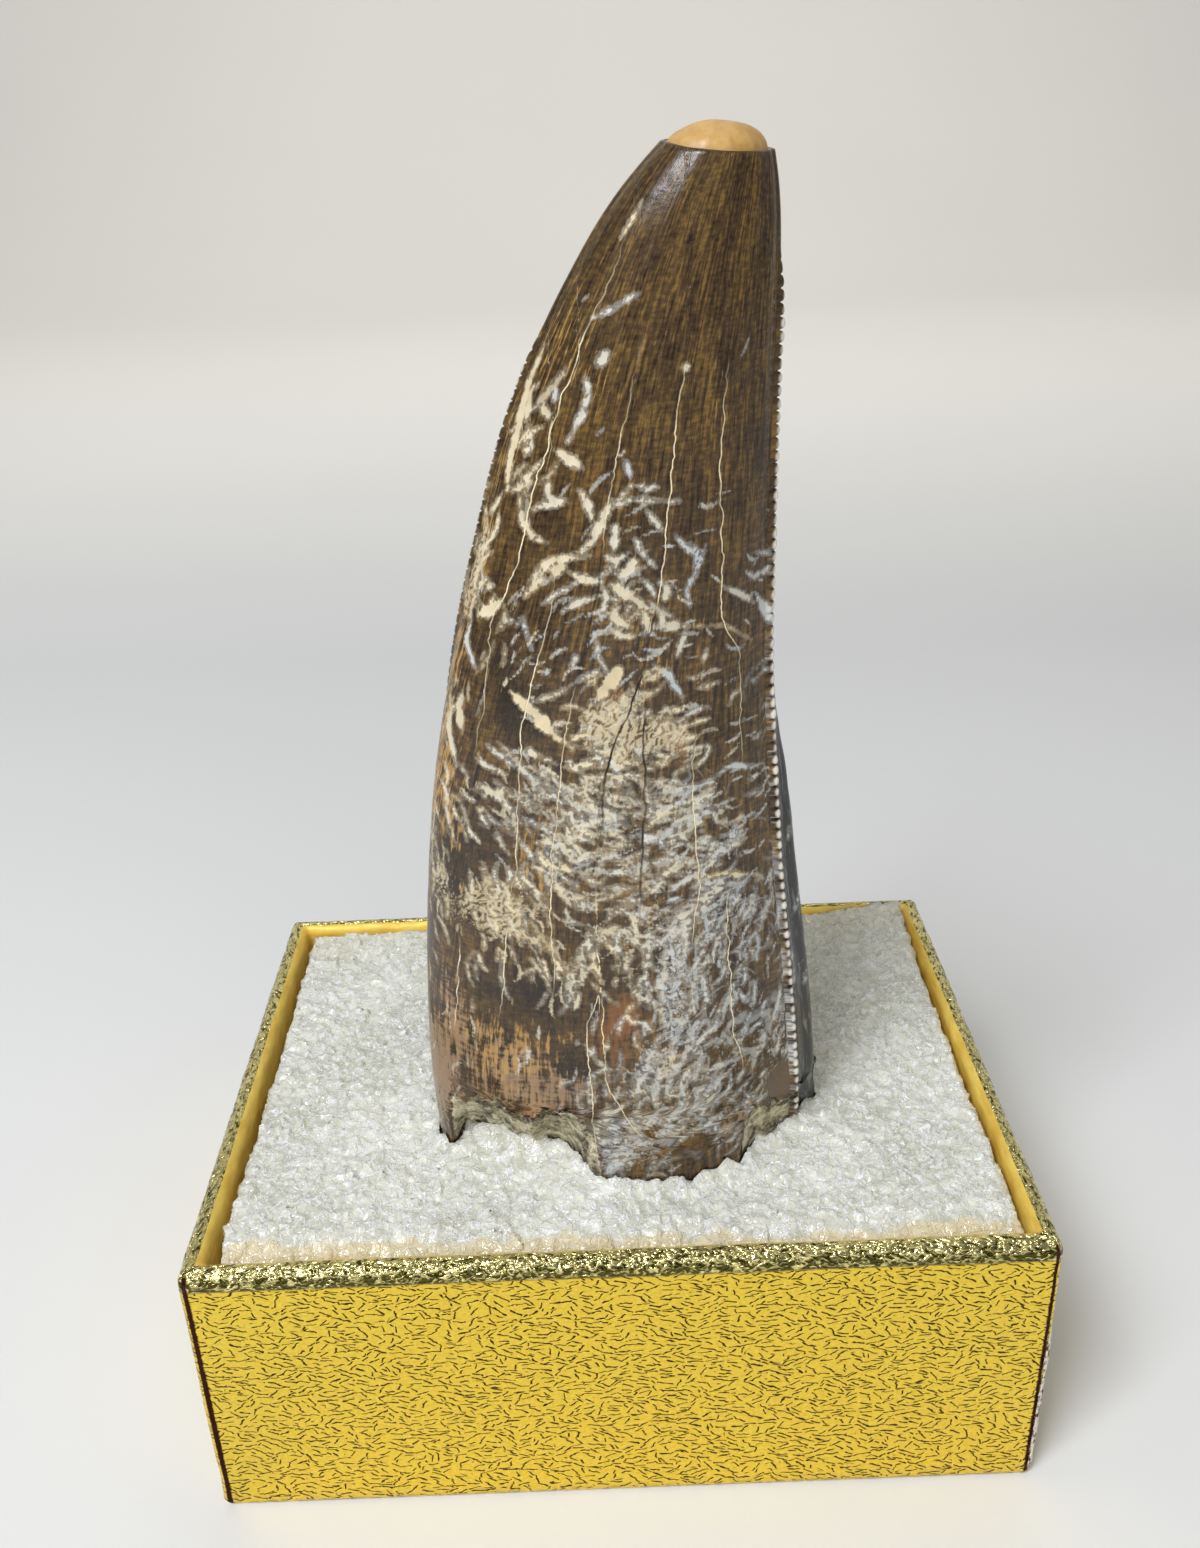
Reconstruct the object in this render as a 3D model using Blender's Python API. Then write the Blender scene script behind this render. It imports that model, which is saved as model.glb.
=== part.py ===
"""Fossil dinosaur tooth, held upright by a foam block in a small foil-covered box.

Metres, +Z up. The origin is on the surface that the box stands on, under the middle of the box.
The tooth's front face looks towards -Y. Its leading edge is on the -X side, its trailing edge on the +X side.
"""

import math

import bmesh
import bpy
import numpy as np

MM = 0.001

# Box: paper, board and foam, from the outside in
BOX_WIDTH = 60.0 * MM
BOX_DEPTH = 45.0 * MM
BOX_HEIGHT = 23.0 * MM
CORNER_RADIUS = 1.4 * MM
CORNER_STEPS = 3
PAPER = 0.3 * MM
BOARD = 0.8 * MM
FLOOR_BOARD = 1.0 * MM
GLUE_GAP = 0.25 * MM
BOTTOM_EDGE = 0.5 * MM
TURN_IN = 12.0 * MM
RIM_STEPS = 4
RIM = 2 * PAPER + 2 * GLUE_GAP + BOARD

# Foam block inside the paper lining
FOAM_GAP_LEFT = 1.5 * MM
FOAM_GAP_RIGHT = 0.5 * MM
FOAM_GAP_FRONT = 0.45 * MM
FOAM_GAP_BACK = 0.45 * MM
FOAM_CELLS_X = 22
FOAM_CELLS_Y = 16
FOAM_TOP = BOX_HEIGHT - 0.7 * MM
FOAM_SWELL = 0.35 * MM
FOAM_CORNER_BULGE = 1.5 * MM
FOAM_FRONT_DIP = 0.8 * MM
FOAM_RAGGED = 0.3 * MM
SLOT_CLEARANCE = 0.4 * MM
SLOT_MOUTH = 1.0 * MM
FOAM_LIFT = 0.3 * MM

# Tooth stations in millimetres, from the broken root end up to the worn tip: height, leading edge x,
# trailing edge x, centre line y, front swell, back swell, and the form of the leading and the trailing half
# (0.5 an ellipse, 1 a lens), which makes the section a teardrop
STATIONS = np.array(
    [
        (12.0, -12.8, 15.9, -7.2, 7.4, 6.4, 0.54, 0.76),
        (22.0, -13.2, 15.7, -7.1, 7.8, 6.8, 0.55, 0.76),
        (29.0, -13.4, 15.3, -7.0, 7.6, 6.6, 0.56, 0.76),
        (36.0, -13.1, 14.5, -7.0, 7.2, 6.2, 0.57, 0.76),
        (44.0, -12.4, 13.4, -7.0, 6.7, 5.8, 0.58, 0.76),
        (52.0, -11.3, 12.3, -6.9, 6.1, 5.3, 0.60, 0.76),
        (60.0, -9.6, 11.4, -6.7, 5.5, 4.8, 0.62, 0.76),
        (68.0, -7.4, 11.1, -6.5, 4.9, 4.3, 0.63, 0.75),
        (76.0, -4.8, 11.1, -6.2, 4.3, 3.8, 0.63, 0.74),
        (83.0, -1.3, 11.2, -5.9, 3.7, 3.3, 0.61, 0.70),
        (88.0, 2.1, 11.0, -5.7, 3.2, 2.8, 0.58, 0.64),
        (92.0, 6.0, 10.3, -5.6, 2.5, 2.2, 0.55, 0.56),
    ]
)
YAW = 0.05  # the trailing edge stands a little further back than the leading edge
BODY_ROWS = 52
BODY_COLUMNS = 19  # on each face, between the two cutting edges
COLUMN_CROWDING = 0.10  # draws the columns towards both cutting edges

# Where each cutting edge runs round the section: height in mm, angle in degrees from the widest point
TRAILING_PATH = np.array([(12, 32), (30, 31), (45, 28), (53, 23), (60, 17), (67, 9), (75, 3), (92, 0)], float)
LEADING_PATH = np.array([(12, 218), (35, 214), (50, 203), (60, 190), (67, 182), (92, 180)], float)

# Cutting edges: a low keel with a row of chisel-shaped denticles
KEEL = 0.15 * MM
KEEL_HALF_WIDTH = 0.42 * MM
TRAILING_PITCH = 0.79 * MM
TRAILING_RISE = 0.35 * MM
TRAILING_RANGE = (21.0 * MM, 85.0 * MM)
LEADING_PITCH = 0.72 * MM
LEADING_RISE = 0.24 * MM
LEADING_RANGE = (44.0 * MM, 81.0 * MM)
DENTICLE_PHASES = (0.0, 0.36, 0.8)  # valley, then the two shoulders of a denticle, along one pitch
FADE = 3.0 * MM
EDGE_PROBE = 0.02  # radians either side of a cutting edge, to read which way the surface runs there

# Root end: a broken edge at uneven height round a shallow pulp hollow
ROOT_LEVEL = 12.8 * MM
ROOT_ROUGHNESS = 0.7 * MM
ROOT_WAVES = ((0.5, 3, 0.7), (0.3, 7, 2.1), (0.2, 13, 0.0))  # share, waves round the root, phase
PULP_DEPTH = 2.2 * MM
PULP_RINGS = ((0.82, 0.1), (0.6, 0.7), (0.3, 1.0))  # share of the way in, share of the depth
PULP_ROUGHNESS = 0.15 * MM

# Worn tip: an oval facet with a low dome of bare dentine inside the enamel rim
TIP_LEVEL = 90.15 * MM
TIP_CENTRE_X = 7.6 * MM
TIP_SLOPE_X = -0.10
TIP_SLOPE_Y = 0.08
TIP_DOME = 1.3 * MM
TIP_SKEW = 0.2  # the dome leans towards the trailing edge
TIP_RINGS = ((0.93, 0.04), (0.86, 0.02), (0.68, 0.55), (0.40, 0.90))

# Two places where the front broke away above the foam: x where each break starts, is full, stops being full
# and ends, then its top height and its depth
BREAKS = (
    (-10.7 * MM, -9.2 * MM, -5.4 * MM, 0.2 * MM, 27.4 * MM, 4.8 * MM),
    (8.6 * MM, 10.6 * MM, 17.0 * MM, 18.0 * MM, 26.0 * MM, 1.6 * MM),
)
BREAK_HEIGHT = 5.5 * MM
BREAK_STEP = 0.5 * MM
BREAK_JAGS = ((0.5 * MM, 1.9, 0.0), (0.3 * MM, 4.3, 1.0))  # size, waves per radian-millimetre, phase


def clear_scene():
    for item in list(bpy.data.objects):
        bpy.data.objects.remove(item, do_unlink=True)


def make_collection(name):
    collection = bpy.data.collections.new(name)
    bpy.context.scene.collection.children.link(collection)
    return collection


def make_material(name, colour, roughness, metallic=0.0):
    material = bpy.data.materials.new(name)
    material.use_nodes = True
    shader = material.node_tree.nodes["Principled BSDF"]
    shader.inputs["Base Color"].default_value = (*colour, 1.0)
    shader.inputs["Roughness"].default_value = roughness
    shader.inputs["Metallic"].default_value = metallic
    return material


def finish_object(name, bm, collection, material):
    """Turns a bmesh into a named object with its faces pointing out."""
    bmesh.ops.recalc_face_normals(bm, faces=bm.faces)
    if bm.calc_volume(signed=True) < 0:
        bmesh.ops.reverse_faces(bm, faces=bm.faces)
    mesh = bpy.data.meshes.new(name)
    bm.to_mesh(mesh)
    bm.free()
    mesh.materials.append(material)
    item = bpy.data.objects.new(name, mesh)
    collection.objects.link(item)
    return item


def smooth_steps(edge0, edge1, value):
    """0 before edge0, 1 after edge1, and a smooth ramp between."""
    t = min(max((value - edge0) / (edge1 - edge0), 0.0), 1.0)
    return t * t * (3 - 2 * t)


def read_curve(table, column, height):
    """A smooth curve through a table's rows, read at a height in the table's own unit."""
    heights = table[:, 0]
    values = table[:, column]
    slopes = np.gradient(values, heights)
    k = int(np.clip(np.searchsorted(heights, height) - 1, 0, len(heights) - 2))
    span = heights[k + 1] - heights[k]
    t = (height - heights[k]) / span
    return float(
        (2 * t**3 - 3 * t**2 + 1) * values[k]
        + (t**3 - 2 * t**2 + t) * span * slopes[k]
        + (3 * t**2 - 2 * t**3) * values[k + 1]
        + (t**3 - t**2) * span * slopes[k + 1]
    )


def break_depth(x, z):
    """How far a broken place lies behind the enamel's own surface."""
    depth = 0.0
    for start, full, stop, end, top, deepest in BREAKS:
        jag = sum(size * math.sin(x / MM * rate + phase) for size, rate, phase in BREAK_JAGS)
        below = top + jag - z
        if below <= 0:
            continue
        across = smooth_steps(start, full, x) * (1 - smooth_steps(stop, end, x))
        down = min(below / BREAK_HEIGHT, 1.0)
        depth = max(depth, across * (BREAK_STEP + (deepest - BREAK_STEP) * down))
    return depth


def section_point(angle, z, grow=0.0, broken=True):
    """The point of the crown's outline at a height. The angle runs from the trailing side over the front."""
    height = z / MM
    values = [read_curve(STATIONS, column, height) for column in range(1, STATIONS.shape[1])]
    lead, trail, centre_y, front, back, lead_form, trail_form = values
    side = -1 if math.sin(angle) >= 0 else 1
    swell = (front if side < 0 else back) * MM + grow
    form = lead_form + (trail_form - lead_form) * smooth_steps(-0.5, 0.7, math.cos(angle))
    across = ((trail - lead) / 2 * MM + grow) * math.cos(angle)
    x = (trail + lead) / 2 * MM + across
    y = side * swell * abs(math.sin(angle)) ** (2 * form)
    if broken and side < 0:
        y = min(y + break_depth(x, z), 0.0)
    return np.array((x, centre_y * MM + YAW * across + y, z))


def facet_height(x, y):
    """The plane that the tip is worn down to."""
    centre_y = STATIONS[-1, 3] * MM
    return TIP_LEVEL + TIP_SLOPE_X * (x - TIP_CENTRE_X) + TIP_SLOPE_Y * (y - centre_y)


def root_height(angle):
    """The uneven edge of the broken root end."""
    wave = sum(size * math.sin(count * angle + phase) for size, count, phase in ROOT_WAVES)
    return ROOT_LEVEL + ROOT_ROUGHNESS * wave


def crown_point(angle, t):
    """A point of the crown at an angle, from t = 0 at the root edge to t = 1 at the tip facet."""
    x, y, _ = section_point(angle, TIP_LEVEL)
    low = root_height(angle)
    high = facet_height(x, y)
    return section_point(angle, low + (high - low) * t)


def edge_angle(path, t):
    """Where a cutting edge lies round the section at t."""
    low = ROOT_LEVEL / MM
    high = TIP_LEVEL / MM
    return math.radians(np.interp(low + (high - low) * t, path[:, 0], path[:, 1]))


def edge_rows(reach, pitch, body_rows):
    """Row positions t along a cutting edge, with each row's phase in its denticle, if it has any there."""
    low, high = reach
    span = TIP_LEVEL - ROOT_LEVEL
    rows = [(t, None) for t in body_rows if not low < ROOT_LEVEL + t * span < high]
    count = int((high - low) / pitch)
    for index in range(count):
        for phase in DENTICLE_PHASES:
            z = low + (index + phase) * pitch
            rows.append(((z - ROOT_LEVEL) / span, phase))
    return sorted(rows, key=lambda row: row[0])


def edge_chains(bm, path, reach, pitch, rise, body_rows):
    """The three dense rows of vertices along a cutting edge: one foot, the crest and the other foot."""
    near, crest, far = [], [], []
    for t, phase in edge_rows(reach, pitch, body_rows):
        angle = edge_angle(path, t)
        point = crown_point(angle, t)
        ahead = crown_point(angle + EDGE_PROBE, t)
        behind = crown_point(angle - EDGE_PROBE, t)
        along = (ahead - behind) / np.linalg.norm(ahead - behind)
        outward = np.array((-along[1], along[0], 0.0))
        if np.dot(outward[:2], point[:2] - section_point(angle + math.pi, point[2])[:2]) < 0:
            outward = -outward
        fade = smooth_steps(reach[0], reach[0] + FADE, point[2])
        fade *= 1 - smooth_steps(reach[1] - FADE, reach[1], point[2])
        lift = KEEL * smooth_steps(reach[0] - FADE, reach[0], point[2])
        if phase is not None and phase > 0:
            lift += rise * fade
        near.append((t, bm.verts.new(point + along * KEEL_HALF_WIDTH)))
        crest.append((t, bm.verts.new(point + outward * lift)))
        far.append((t, bm.verts.new(point - along * KEEL_HALF_WIDTH)))
    return near, crest, far


def zip_chains(bm, one, other):
    """Joins two rows of vertices that have different spacing with triangles."""
    i = j = 0
    while i < len(one) - 1 or j < len(other) - 1:
        take_one = j == len(other) - 1 or (i < len(one) - 1 and one[i + 1][0] <= other[j + 1][0])
        if take_one:
            bm.faces.new((one[i][1], other[j][1], one[i + 1][1]))
            i += 1
        else:
            bm.faces.new((one[i][1], other[j][1], other[j + 1][1]))
            j += 1


def quad_chains(bm, one, other):
    """Joins two rows of vertices that have the same spacing with quads."""
    for k in range(len(one) - 1):
        bm.faces.new((one[k][1], other[k][1], other[k + 1][1], one[k + 1][1]))


def close_ring(bm, ring, levels, centre_level):
    """Closes a ring with smaller rings, each a share of the way in, and a middle point."""
    centre = sum((np.array(vert.co) for vert in ring), np.zeros(3)) / len(ring)
    last = ring
    for scale, level in levels:
        inner = [bm.verts.new(centre + (np.array(v.co) - centre) * scale + (0, 0, level(v))) for v in ring]
        for k in range(len(ring)):
            after = (k + 1) % len(ring)
            bm.faces.new((last[k], last[after], inner[after], inner[k]))
        last = inner
    middle = bm.verts.new(centre + (0, 0, centre_level))
    for k in range(len(ring)):
        bm.faces.new((last[k], last[(k + 1) % len(ring)], middle))


def make_tooth(collection):
    """The whole tooth as one lofted body with its denticles grown from both cutting edges."""
    bm = bmesh.new()
    body_rows = list(np.linspace(0, 1, BODY_ROWS))
    trailing = edge_chains(bm, TRAILING_PATH, TRAILING_RANGE, TRAILING_PITCH, TRAILING_RISE, body_rows)
    leading = edge_chains(bm, LEADING_PATH, LEADING_RANGE, LEADING_PITCH, LEADING_RISE, body_rows)

    def body_chain(start_path, end_path, turn, share):
        chain = []
        for t in body_rows:
            start = edge_angle(start_path, t)
            end = edge_angle(end_path, t) + turn
            eased = share - COLUMN_CROWDING * math.sin(2 * math.pi * share)
            chain.append((t, bm.verts.new(crown_point(start + (end - start) * eased, t))))
        return chain

    shares = [k / BODY_COLUMNS for k in range(1, BODY_COLUMNS)]
    front = [body_chain(TRAILING_PATH, LEADING_PATH, 0.0, share) for share in shares]
    back = [body_chain(LEADING_PATH, TRAILING_PATH, 2 * math.pi, share) for share in shares]
    for one, other in zip(front, front[1:]):
        quad_chains(bm, one, other)
    for one, other in zip(back, back[1:]):
        quad_chains(bm, one, other)
    for near, crest, far in (trailing, leading):
        quad_chains(bm, near, crest)
        quad_chains(bm, crest, far)
    zip_chains(bm, trailing[0], front[0])
    zip_chains(bm, front[-1], leading[2])
    zip_chains(bm, leading[0], back[0])
    zip_chains(bm, back[-1], trailing[2])

    order = [trailing[1], trailing[0], *front, leading[2], leading[1], leading[0], *back, trailing[2]]
    root_ring = [chain[0][1] for chain in order]
    tip_ring = [chain[-1][1] for chain in order]

    def hollow(share):
        return lambda v: PULP_DEPTH * share + PULP_ROUGHNESS * math.sin(2 * v.co.x / MM + v.co.y / MM)

    def dome(scale, share):
        return lambda v: share * (TIP_DOME + TIP_SKEW * scale * (v.co.x - TIP_CENTRE_X))

    close_ring(bm, root_ring, [(scale, hollow(share)) for scale, share in PULP_RINGS], PULP_DEPTH)
    close_ring(bm, tip_ring, [(scale, dome(scale, share)) for scale, share in TIP_RINGS], TIP_DOME)
    bmesh.ops.triangulate(bm, faces=bm.faces)
    material = make_material("polished fossil enamel", (0.10, 0.065, 0.035), 0.25)
    item = finish_object("tooth", bm, collection, material)
    item.data.shade_smooth()
    item.data.set_sharp_from_angle(angle=math.radians(50))
    return item


def rounded_rectangle(inset, z):
    """One ring of points round the box, a distance in from its outer face, with rounded corners."""
    radius = max(CORNER_RADIUS - inset, 0.25 * MM)
    half_x = BOX_WIDTH / 2 - inset - radius
    half_y = BOX_DEPTH / 2 - inset - radius
    points = []
    for corner, (sign_x, sign_y) in enumerate(((1, 1), (-1, 1), (-1, -1), (1, -1))):
        for step in range(CORNER_STEPS + 1):
            angle = math.radians(90 * corner + 90 * step / CORNER_STEPS)
            x = sign_x * half_x + radius * math.cos(angle)
            y = sign_y * half_y + radius * math.sin(angle)
            points.append((x, y, z))
    return points


def loft_rings(bm, profile):
    """A closed solid from a profile of (inset, height) that is carried round the box."""
    rings = [[bm.verts.new(point) for point in rounded_rectangle(inset, z)] for inset, z in profile]
    for lower, upper in zip(rings, rings[1:]):
        for k in range(len(lower)):
            after = (k + 1) % len(lower)
            bm.faces.new((lower[k], lower[after], upper[after], upper[k]))
    bm.faces.new(reversed(rings[0]))
    bm.faces.new(rings[-1])
    bmesh.ops.triangulate(bm, faces=bm.faces)


def rim_arc(outer_inset, inner_inset, top, clockwise=True):
    """The rounded top edge between two walls, as (inset, height)."""
    middle = (outer_inset + inner_inset) / 2
    radius = (inner_inset - outer_inset) / 2
    arc = []
    for step in range(RIM_STEPS + 1):
        angle = math.pi * (1 - step / RIM_STEPS)
        arc.append((middle + radius * math.cos(angle), top - radius + radius * math.sin(angle)))
    return arc if clockwise else arc[::-1]


def make_foil_wrap(collection):
    """The gold paper: under the floor, up the outside, over the rim and down the inside as a turn-in."""
    bm = bmesh.new()
    hem = BOX_HEIGHT - TURN_IN
    profile = [(BOTTOM_EDGE, 0.0), (0.0, BOTTOM_EDGE)]
    profile += rim_arc(0.0, RIM, BOX_HEIGHT)
    profile += [(RIM, hem), (RIM - PAPER, hem)]
    profile += rim_arc(PAPER, RIM - PAPER, BOX_HEIGHT - PAPER, clockwise=False)
    profile += [(PAPER, BOTTOM_EDGE + PAPER / 2), (BOTTOM_EDGE + PAPER / 2, PAPER)]
    loft_rings(bm, profile)
    material = make_material("embossed gold foil paper", (0.68, 0.50, 0.09), 0.3, 1.0)
    return finish_object("foil_wrap", bm, collection, material)


def make_board_tray(collection):
    """The stiff tray between the two layers of paper."""
    bm = bmesh.new()
    outer = PAPER + GLUE_GAP
    inner = outer + BOARD
    low = PAPER + GLUE_GAP
    top = BOX_HEIGHT - PAPER - 2 * GLUE_GAP
    chamfer = 0.2 * MM
    profile = [
        (outer + BOTTOM_EDGE, low),
        (outer, low + BOTTOM_EDGE),
        (outer, top - chamfer),
        (outer + chamfer, top),
        (inner - chamfer, top),
        (inner, top - chamfer),
        (inner, low + FLOOR_BOARD),
    ]
    loft_rings(bm, profile)
    material = make_material("grey chipboard", (0.36, 0.33, 0.28), 0.9)
    return finish_object("board_tray", bm, collection, material)


def foam_top_height(x, y):
    """The foam's uneven top: gentle swells, a dip along the front, a bulge at the back right corner."""
    u = x / (BOX_WIDTH / 2)
    v = y / (BOX_DEPTH / 2)
    swell = math.sin(3.1 * u + 0.4) * math.sin(2.7 * v + 1.1)
    swell += 0.5 * math.sin(7.3 * u + 2.0) * math.sin(6.1 * v)
    corner = smooth_steps(0.45, 0.95, u) * smooth_steps(0.4, 0.9, v)
    dip = smooth_steps(-0.80, -0.93, v)
    return FOAM_TOP + FOAM_SWELL * swell + FOAM_CORNER_BULGE * corner - FOAM_FRONT_DIP * dip


def make_slot_cutter(collection):
    """The tooth's own root form, grown by the clearance, from under the root end to above the foam."""
    bm = bmesh.new()
    steps = 40
    mouth_start = FOAM_TOP - 3.8 * MM
    mouth_end = FOAM_TOP - 0.8 * MM
    floor = ROOT_LEVEL - 2 * ROOT_ROUGHNESS
    levels = [floor, (floor + mouth_start) / 2, mouth_start, mouth_end, BOX_HEIGHT + 3 * MM]
    rings = []
    for z in levels:
        grow = SLOT_CLEARANCE + (SLOT_MOUTH - SLOT_CLEARANCE) * smooth_steps(mouth_start, mouth_end, z)
        angles = [2 * math.pi * k / steps for k in range(steps)]
        read_at = max(z, STATIONS[0, 0] * MM)
        points = [section_point(angle, read_at, grow, broken=False) for angle in angles]
        rings.append([bm.verts.new((p[0], p[1], z)) for p in points])
    for lower, upper in zip(rings, rings[1:]):
        for k in range(steps):
            after = (k + 1) % steps
            bm.faces.new((lower[k], lower[after], upper[after], upper[k]))
    bm.faces.new(reversed(rings[0]))
    bm.faces.new(rings[-1])
    cutter = finish_object("slot_cutter", bm, collection, make_material("cutter", (1, 0, 0), 0.5))
    cutter.hide_render = True
    cutter.display_type = "WIRE"
    return cutter


def make_foam_block(collection, cutter):
    """A cut block of foam with a grid on its uneven top, ragged sides and the slot for the tooth."""
    bm = bmesh.new()
    left = -BOX_WIDTH / 2 + RIM + FOAM_GAP_LEFT
    right = BOX_WIDTH / 2 - RIM - FOAM_GAP_RIGHT
    front = -BOX_DEPTH / 2 + RIM + FOAM_GAP_FRONT
    back = BOX_DEPTH / 2 - RIM - FOAM_GAP_BACK
    floor = PAPER + GLUE_GAP + FLOOR_BOARD + FOAM_LIFT
    bmesh.ops.create_grid(bm, x_segments=FOAM_CELLS_X, y_segments=FOAM_CELLS_Y, size=0.5)
    grid_edges = [edge for edge in bm.edges if edge.is_boundary]
    sides = bmesh.ops.extrude_edge_only(bm, edges=grid_edges)
    lower = {vert for vert in sides["geom"] if isinstance(vert, bmesh.types.BMVert)}
    loop = [edge for edge in sides["geom"] if isinstance(edge, bmesh.types.BMEdge) and edge.is_boundary]
    bmesh.ops.contextual_create(bm, geom=loop)
    for vert in bm.verts:
        x = left + (right - left) * (vert.co.x + 0.5)
        y = front + (back - front) * (vert.co.y + 0.5)
        if vert in lower:
            vert.co = (x, y, floor)
            continue
        ragged = FOAM_RAGGED * (1 + math.sin(x / MM * 1.3 + 0.5) * math.cos(y / MM * 1.7)) / 2
        z = foam_top_height(x, y)
        if abs(abs(vert.co.x) - 0.5) < 1e-6:
            x -= math.copysign(ragged, vert.co.x)
        if abs(abs(vert.co.y) - 0.5) < 1e-6:
            y -= math.copysign(ragged, vert.co.y)
        vert.co = (x, y, z)
    bmesh.ops.triangulate(bm, faces=bm.faces)
    material = make_material("white polyethylene foam", (0.86, 0.87, 0.84), 0.6)
    item = finish_object("foam_block", bm, collection, material)
    cut = item.modifiers.new("slot", "BOOLEAN")
    cut.operation = "DIFFERENCE"
    cut.solver = "EXACT"
    cut.object = cutter
    return item


def main():
    clear_scene()
    parts = make_collection("fossil_tooth_on_box")
    cutters = make_collection("cutters")
    make_foil_wrap(parts)
    make_board_tray(parts)
    make_foam_block(parts, make_slot_cutter(cutters))
    make_tooth(parts)


main()
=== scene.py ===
"""The looks of a fossil dinosaur tooth that stands in foam in a small gold box, as a Blender add-on.

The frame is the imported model's own: +Z up, the tooth's front face towards -Y, its leading edge on the -X side
and its trailing edge on the +X side. Points are worked out in millimetres and become metres in Skin.build.
"""

import math

import bmesh
import bpy
import numpy as np
from bpy.props import FloatProperty, FloatVectorProperty, IntProperty, PointerProperty
from mathutils import Matrix, Vector, kdtree


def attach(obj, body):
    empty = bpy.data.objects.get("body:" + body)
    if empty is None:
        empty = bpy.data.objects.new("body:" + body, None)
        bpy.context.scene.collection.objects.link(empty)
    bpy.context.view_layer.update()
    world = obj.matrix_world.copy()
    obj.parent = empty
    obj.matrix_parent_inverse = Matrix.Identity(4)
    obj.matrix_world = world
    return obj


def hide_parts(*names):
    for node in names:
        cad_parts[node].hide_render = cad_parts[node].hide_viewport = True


bl_info = {
    "name": "Fossil Tooth in a Foil Box",
    "version": (1, 0, 0),
    "blender": (4, 5, 0),
    "location": "3D View > Sidebar > Fossil Tooth",
    "description": "Builds a polished fossil tooth, its foam, its foil-covered box and a studio round them",
    "category": "Add Mesh",
}

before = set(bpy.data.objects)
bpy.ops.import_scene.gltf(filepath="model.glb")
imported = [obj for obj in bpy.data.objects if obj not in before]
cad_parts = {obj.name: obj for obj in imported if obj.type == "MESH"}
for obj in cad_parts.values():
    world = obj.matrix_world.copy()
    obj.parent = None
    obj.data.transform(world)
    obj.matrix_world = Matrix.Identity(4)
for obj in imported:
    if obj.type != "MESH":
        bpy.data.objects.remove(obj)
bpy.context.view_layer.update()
MM = 0.001

ATTRIBUTE = "ShaderNodeAttribute"
BUMP = "ShaderNodeBump"
CELLS = "ShaderNodeTexVoronoi"
MATH = "ShaderNodeMath"
MIX = "ShaderNodeMix"
NOISE = "ShaderNodeTexNoise"
RAMP = "ShaderNodeValToRGB"
RANGE = "ShaderNodeMapRange"
SPLIT = "ShaderNodeSeparateXYZ"
VECTOR = "ShaderNodeVectorMath"


# Numbers


def hex_colour(code):
    """An sRGB hex colour as linear red, green and blue, with an alpha of 1."""
    values = [int(code[k : k + 2], 16) / 255 for k in (1, 3, 5)]
    linear = [v / 12.92 if v <= 0.04045 else ((v + 0.055) / 1.055) ** 2.4 for v in values]
    return (*linear, 1.0)


def smooth(edge0, edge1, value):
    """0 before edge0, 1 after edge1, and a smooth ramp between."""
    t = np.clip((value - edge0) / (edge1 - edge0), 0.0, 1.0)
    return t * t * (3 - 2 * t)


def read_curve(table, column, height):
    """A smooth curve through a table's rows, read at heights in the table's own unit."""
    heights = table[:, 0]
    values = table[:, column]
    slopes = np.gradient(values, heights)
    k = np.clip(np.searchsorted(heights, height) - 1, 0, len(heights) - 2)
    span = heights[k + 1] - heights[k]
    t = (height - heights[k]) / span
    start = (2 * t**3 - 3 * t**2 + 1) * values[k] + (t**3 - 2 * t**2 + t) * span * slopes[k]
    end = (3 * t**2 - 2 * t**3) * values[k + 1] + (t**3 - t**2) * span * slopes[k + 1]
    return start + end


def soft_noise(points, seed):
    """Smooth noise from -1 to 1 whose features are about one unit apart."""
    lattice = np.random.default_rng(seed).uniform(-1, 1, (32, 32, 32))
    cell = np.floor(points).astype(int)
    part = points - cell
    part = part * part * (3 - 2 * part)
    total = 0.0
    for corner in np.ndindex(2, 2, 2):
        at = (cell + corner) % 32
        weight = np.prod(np.where(corner, part, 1 - part), axis=-1)
        total = total + lattice[at[..., 0], at[..., 1], at[..., 2]] * weight
    return total


def rough_noise(points, seed, layers=3):
    """Layers of smooth noise, each half the size and half the strength of the last."""
    return sum(soft_noise(points * 2**k, seed + k) / 2**k for k in range(layers))


def cell_noise(places, seed):
    """Cells about one unit wide: the way to a cell's middle, the distance to its wall, and its own number."""
    rng = np.random.default_rng(seed)
    shift = rng.uniform(0.1, 0.9, (64, 64, 2))
    number = rng.uniform(0, 1, (64, 64))
    base = np.floor(places).astype(int)
    nearest = np.full(len(places), 9.0)
    second = np.full(len(places), 9.0)
    name = np.zeros(len(places))
    way = np.zeros((len(places), 2))
    for step in np.ndindex(3, 3):
        cell = base + step - 1
        at = cell % 64
        towards = cell + shift[at[:, 0], at[:, 1]] - places
        away = np.hypot(towards[:, 0], towards[:, 1])
        closer = away < nearest
        second = np.where(closer, nearest, np.minimum(second, away))
        name = np.where(closer, number[at[:, 0], at[:, 1]], name)
        way = np.where(closer[:, None], towards, way)
        nearest = np.where(closer, away, nearest)
    return way, second - nearest, name


# Meshes


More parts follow.
